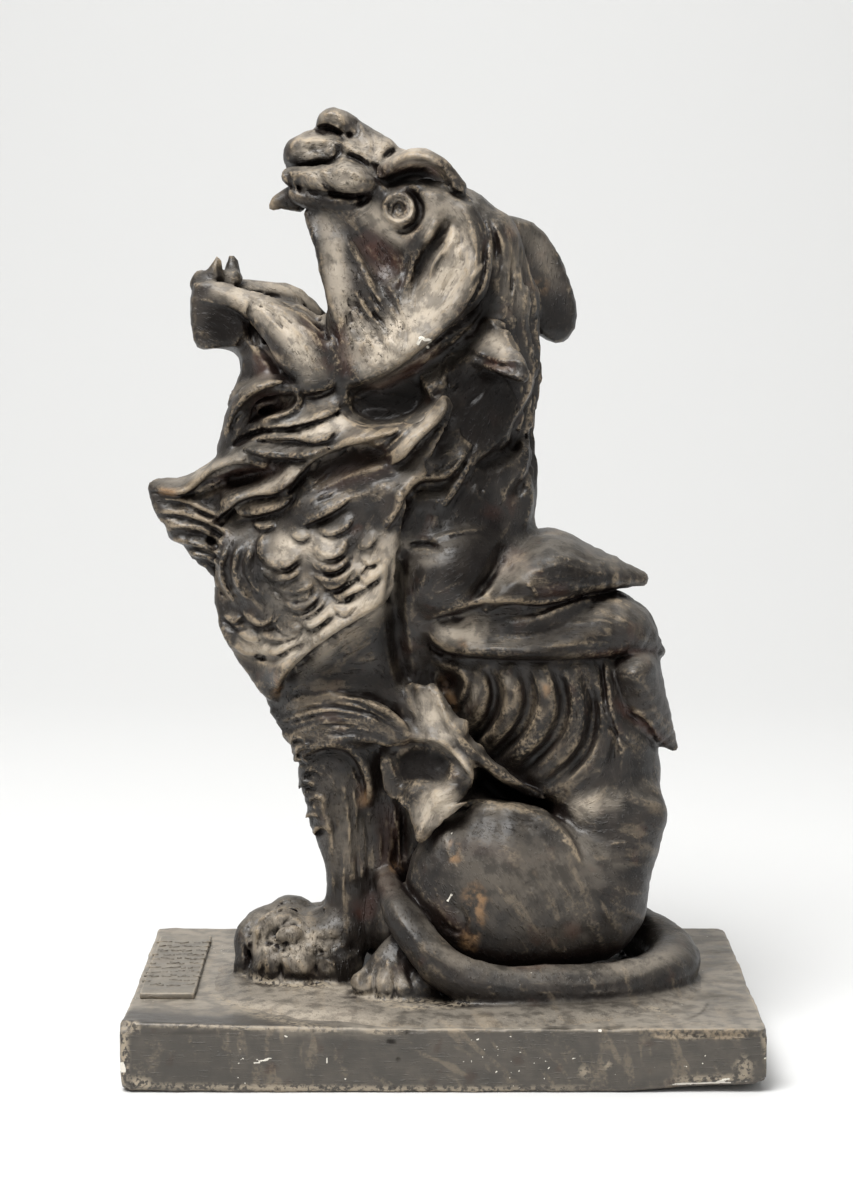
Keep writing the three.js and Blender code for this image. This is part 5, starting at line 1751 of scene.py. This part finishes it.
def patina(name, dark, pale, dust_amount, wear_amount, flakes=0.0):
    material = bpy.data.materials.new(name)
    material.use_nodes = True
    tree = material.node_tree
    shader = tree.nodes["Principled BSDF"]
    place = add_node(tree, "TexCoord").outputs["Object"]
    up = add_node(tree, "SeparateXYZ", {"Vector": add_node(tree, "NewGeometry").outputs["Normal"]}).outputs["Z"]
    broad, middle, fine = (noise(tree, place, scale) for scale in (28.0, 110.0, 480.0))
    open_air = mask_of(tree, "open")
    sharp = mask_of(tree, "bend_fine")
    round_out = mask_of(tree, "bend_broad")
    drag = tool_drag(tree, place)

    mixed = plus(tree, times(tree, broad, 0.4), plus(tree, times(tree, middle, 0.4), times(tree, drag, 0.2)))
    mottle = between(tree, mixed, 0.38, 0.64)
    colour = over(tree, linear(dark), linear(pale), mottle)
    blotches = between(tree, noise(tree, place, 60.0, 2.0), 0.60, 0.72)
    colour = over(tree, colour, linear("#3f281c"), times(tree, blotches, 0.4))
    colour = over(tree, colour, linear("#44261b"), times(tree, mask_of(tree, "rust"), 0.85))

    # Painted shade: points that the clay around them closes in are darkened, less so near the ground.
    lying_low = mask_of(tree, "low")
    hollow_shade = times(tree, between(tree, open_air, 0.72, 0.25), between(tree, lying_low, 0.0, 1.0, 0.88, 0.35))
    colour = over(tree, colour, linear("#1a1310"), hollow_shade)

    facing_up = between(tree, up, 0.15, 1.0)
    patchy = between(tree, plus(tree, times(tree, middle, 0.7), times(tree, drag, 0.3)), 0.36, 0.60)
    dust = times(tree, facing_up, between(tree, open_air, 0.25, 0.75))
    dust = times(tree, dust, between(tree, patchy, 0.0, 1.0, 0.45, 1.0))
    dust = plus(tree, times(tree, dust, dust_amount), times(tree, dust, times(tree, lying_low, 0.3)))
    colour = over(tree, colour, linear("#a39a8c"), dust)
    # Pale beige from its painted mask: dust, and painted highlights on lit folds and ridges.
    dust_and_highlight = times(tree, mask_of(tree, "dust_and_highlight"), between(tree, patchy, 0.1, 0.9, 0.45, 1.0))
    dust_and_highlight = times(tree, dust_and_highlight, between(tree, open_air, 0.35, 0.75))
    colour = over(tree, colour, linear("#b5a998"), dust_and_highlight)
    # Painted shade in creases: where the surface bends inwards it is darkened.
    crease_shade = times(tree, between(tree, sharp, -0.08, -0.40), 0.45)
    colour = over(tree, colour, linear("#1c130e"), crease_shade)
    # Painted shade from its painted mask darkens the places where shade falls.
    colour = over(tree, colour, linear("#120e0c"), times(tree, mask_of(tree, "painted_shade"), 0.9))

    rubbed = plus(tree, between(tree, sharp, 0.06, 0.40), times(tree, between(tree, round_out, 0.10, 0.45), 0.4))
    rubbed = plus(tree, rubbed, times(tree, between(tree, mask_of(tree, "streak"), 0.62, 0.95), 0.35))
    worn = between(tree, plus(tree, times(tree, broad, 0.5), times(tree, fine, 0.5)), 0.42, 0.58)
    rubbed = times(tree, times(tree, rubbed, worn), between(tree, open_air, 0.3, 0.7))
    rubbed = times(tree, rubbed, between(tree, mask_of(tree, "painted_shade"), 0.9, 0.2))
    colour = over(tree, colour, linear("#a8967d"), times(tree, rubbed, wear_amount))
    ochre = times(tree, mask_of(tree, "ochre"), between(tree, middle, 0.35, 0.55))
    colour = over(tree, colour, linear("#87694a"), ochre)
    crumbs = mask_of(tree, "crumbs")
    grain = noise(tree, place, 380.0, 3.0)
    colour = over(tree, colour, linear("#a39682"), times(tree, crumbs, between(tree, grain, 0.44, 0.54)))
    colour = over(tree, colour, linear("#2b221c"), times(tree, crumbs, between(tree, grain, 0.38, 0.32)))
    clusters = between(tree, noise(tree, place, 24.0, 1.0), 0.54, 0.64)
    specks = times(tree, times(tree, between(tree, noise(tree, place, 560.0, 1.0), 0.72, 0.77), clusters), flakes)
    ragged = plus(tree, times(tree, mask_of(tree, "chip"), 0.8), times(tree, fine, 0.4))
    chipped = between(tree, plus(tree, ragged, specks), 0.78, 0.86)
    colour = over(tree, colour, linear("#e2dccf"), chipped)
    tree.links.new(colour, shader.inputs["Base Color"])

    dull = plus(tree, times(tree, plus(tree, dust, dust_and_highlight), 0.3), times(tree, middle, 0.25))
    tree.links.new(plus(tree, dull, 0.34), shader.inputs["Roughness"])
    # The specular level drops under the painted shade and in the darkened hollows.
    shade_total = plus(tree, mask_of(tree, "painted_shade"), times(tree, hollow_shade, 0.7))
    tree.links.new(between(tree, shade_total, 0.0, 0.9, 0.46, 0.14), shader.inputs["Specular IOR Level"])
    shader.inputs["Coat Weight"].default_value = 0.12
    shader.inputs["Coat Roughness"].default_value = 0.25
    relief = plus(tree, times(tree, drag, 0.40), times(tree, wrinkles(tree, place, 150.0), 0.26))
    relief = plus(tree, relief, times(tree, wrinkles(tree, place, 400.0), 0.22))
    relief = plus(tree, relief, times(tree, fine, 0.2))
    relief = between(tree, relief, 0.3, 0.6)
    relief = times(tree, relief, between(tree, mask_of(tree, "coarse"), 0.0, 1.0, 0.2, 1.7))
    bump = add_node(tree, "Bump", {"Strength": 1.0, "Distance": 0.0065, "Height": relief})
    tree.links.new(bump.outputs["Normal"], shader.inputs["Normal"])
    return material


def dress(thing, material, node):
    thing.data.materials.clear()
    thing.data.materials.append(material)
    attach(thing, "root")
    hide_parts(node)


dress(lion, patina("brown-black patina", "#14100d", "#2e2721", 0.25, 0.66), "lion")
dress(slab, patina("grey-black patina", "#47433d", "#59534b", 0.85, 0.8, 0.8), "slab")
dress(tablet, patina("dusty patina", "#6a645a", "#7d766a", 0.95, 0.5), "tablet")
print("finishes made")

# %% [markdown]
# The studio. The statue stands on white paper that sweeps up behind it without a corner, under a large soft light
# from above on the left and weaker light from the room.

# %% Floor, light and camera
def sweep(width, front, back, rise, bend):
    """Paper that lies flat, curves up behind and stands: points and faces in metres."""
    turns = [math.radians(a) for a in range(0, 91, 6)]
    profile = [(front, 0.0)] + [(back - bend + bend * math.sin(a), bend - bend * math.cos(a)) for a in turns] + [(back, rise)]
    points = [(side * width / 2, y, z) for y, z in profile for side in (-1, 1)]
    faces = [(2 * k, 2 * k + 1, 2 * k + 3, 2 * k + 2) for k in range(len(profile) - 1)]
    return points, faces


paper = bpy.data.materials.new("white paper")
paper.use_nodes = True
paper.node_tree.nodes["Principled BSDF"].inputs["Base Color"].default_value = linear("#e2e2e1")
paper.node_tree.nodes["Principled BSDF"].inputs["Roughness"].default_value = 0.9
floor_mesh = bpy.data.meshes.new("paper_sweep")
points, faces = sweep(9.0, -4.0, 2.6, 4.0, 1.4)
floor_mesh.from_pydata(points, [], faces)
floor_mesh.shade_smooth()
floor_mesh.materials.append(paper)
floor = bpy.data.objects.new("paper_sweep", floor_mesh)
bpy.context.scene.collection.objects.link(floor)

world = bpy.data.worlds.new("studio")
world.use_nodes = True
world.node_tree.nodes["Background"].inputs["Color"].default_value = linear("#f4f4f3")
world.node_tree.nodes["Background"].inputs["Strength"].default_value = 0.42
bpy.context.scene.world = world


def lamp(name, place, target, size, watts):
    light = bpy.data.lights.new(name, "AREA")
    light.size = size
    light.energy = watts
    thing = bpy.data.objects.new(name, light)
    thing.location = place
    thing.rotation_euler = (Vector(target) - Vector(place)).to_track_quat("-Z", "Y").to_euler()
    bpy.context.scene.collection.objects.link(thing)


lamp("softbox above", (-0.55, -0.95, 2.1), (0, 0, 0.25), 1.1, 64)
lamp("fill right", (1.8, -1.4, 1.0), (0, 0, 0.25), 1.2, 3)
lamp("backdrop light", (0.0, 1.0, 2.6), (0, 2.4, 0.6), 1.6, 19)
print("studio lit")

camera_data = bpy.data.cameras.new("camera")
camera_data.sensor_fit = "VERTICAL"
camera_data.sensor_height = 36
camera_data.lens = FOCAL * 36 / PICTURE[1]
camera_data.clip_start = 0.05
camera_data.clip_end = 50
camera = bpy.data.objects.new("camera", camera_data)
camera.location = EYE / 1000
camera.rotation_euler = (math.radians(90) - TILT, 0, 0)
bpy.context.scene.collection.objects.link(camera)
bpy.context.scene.camera = camera
bpy.context.scene.view_settings.view_transform = "Standard"
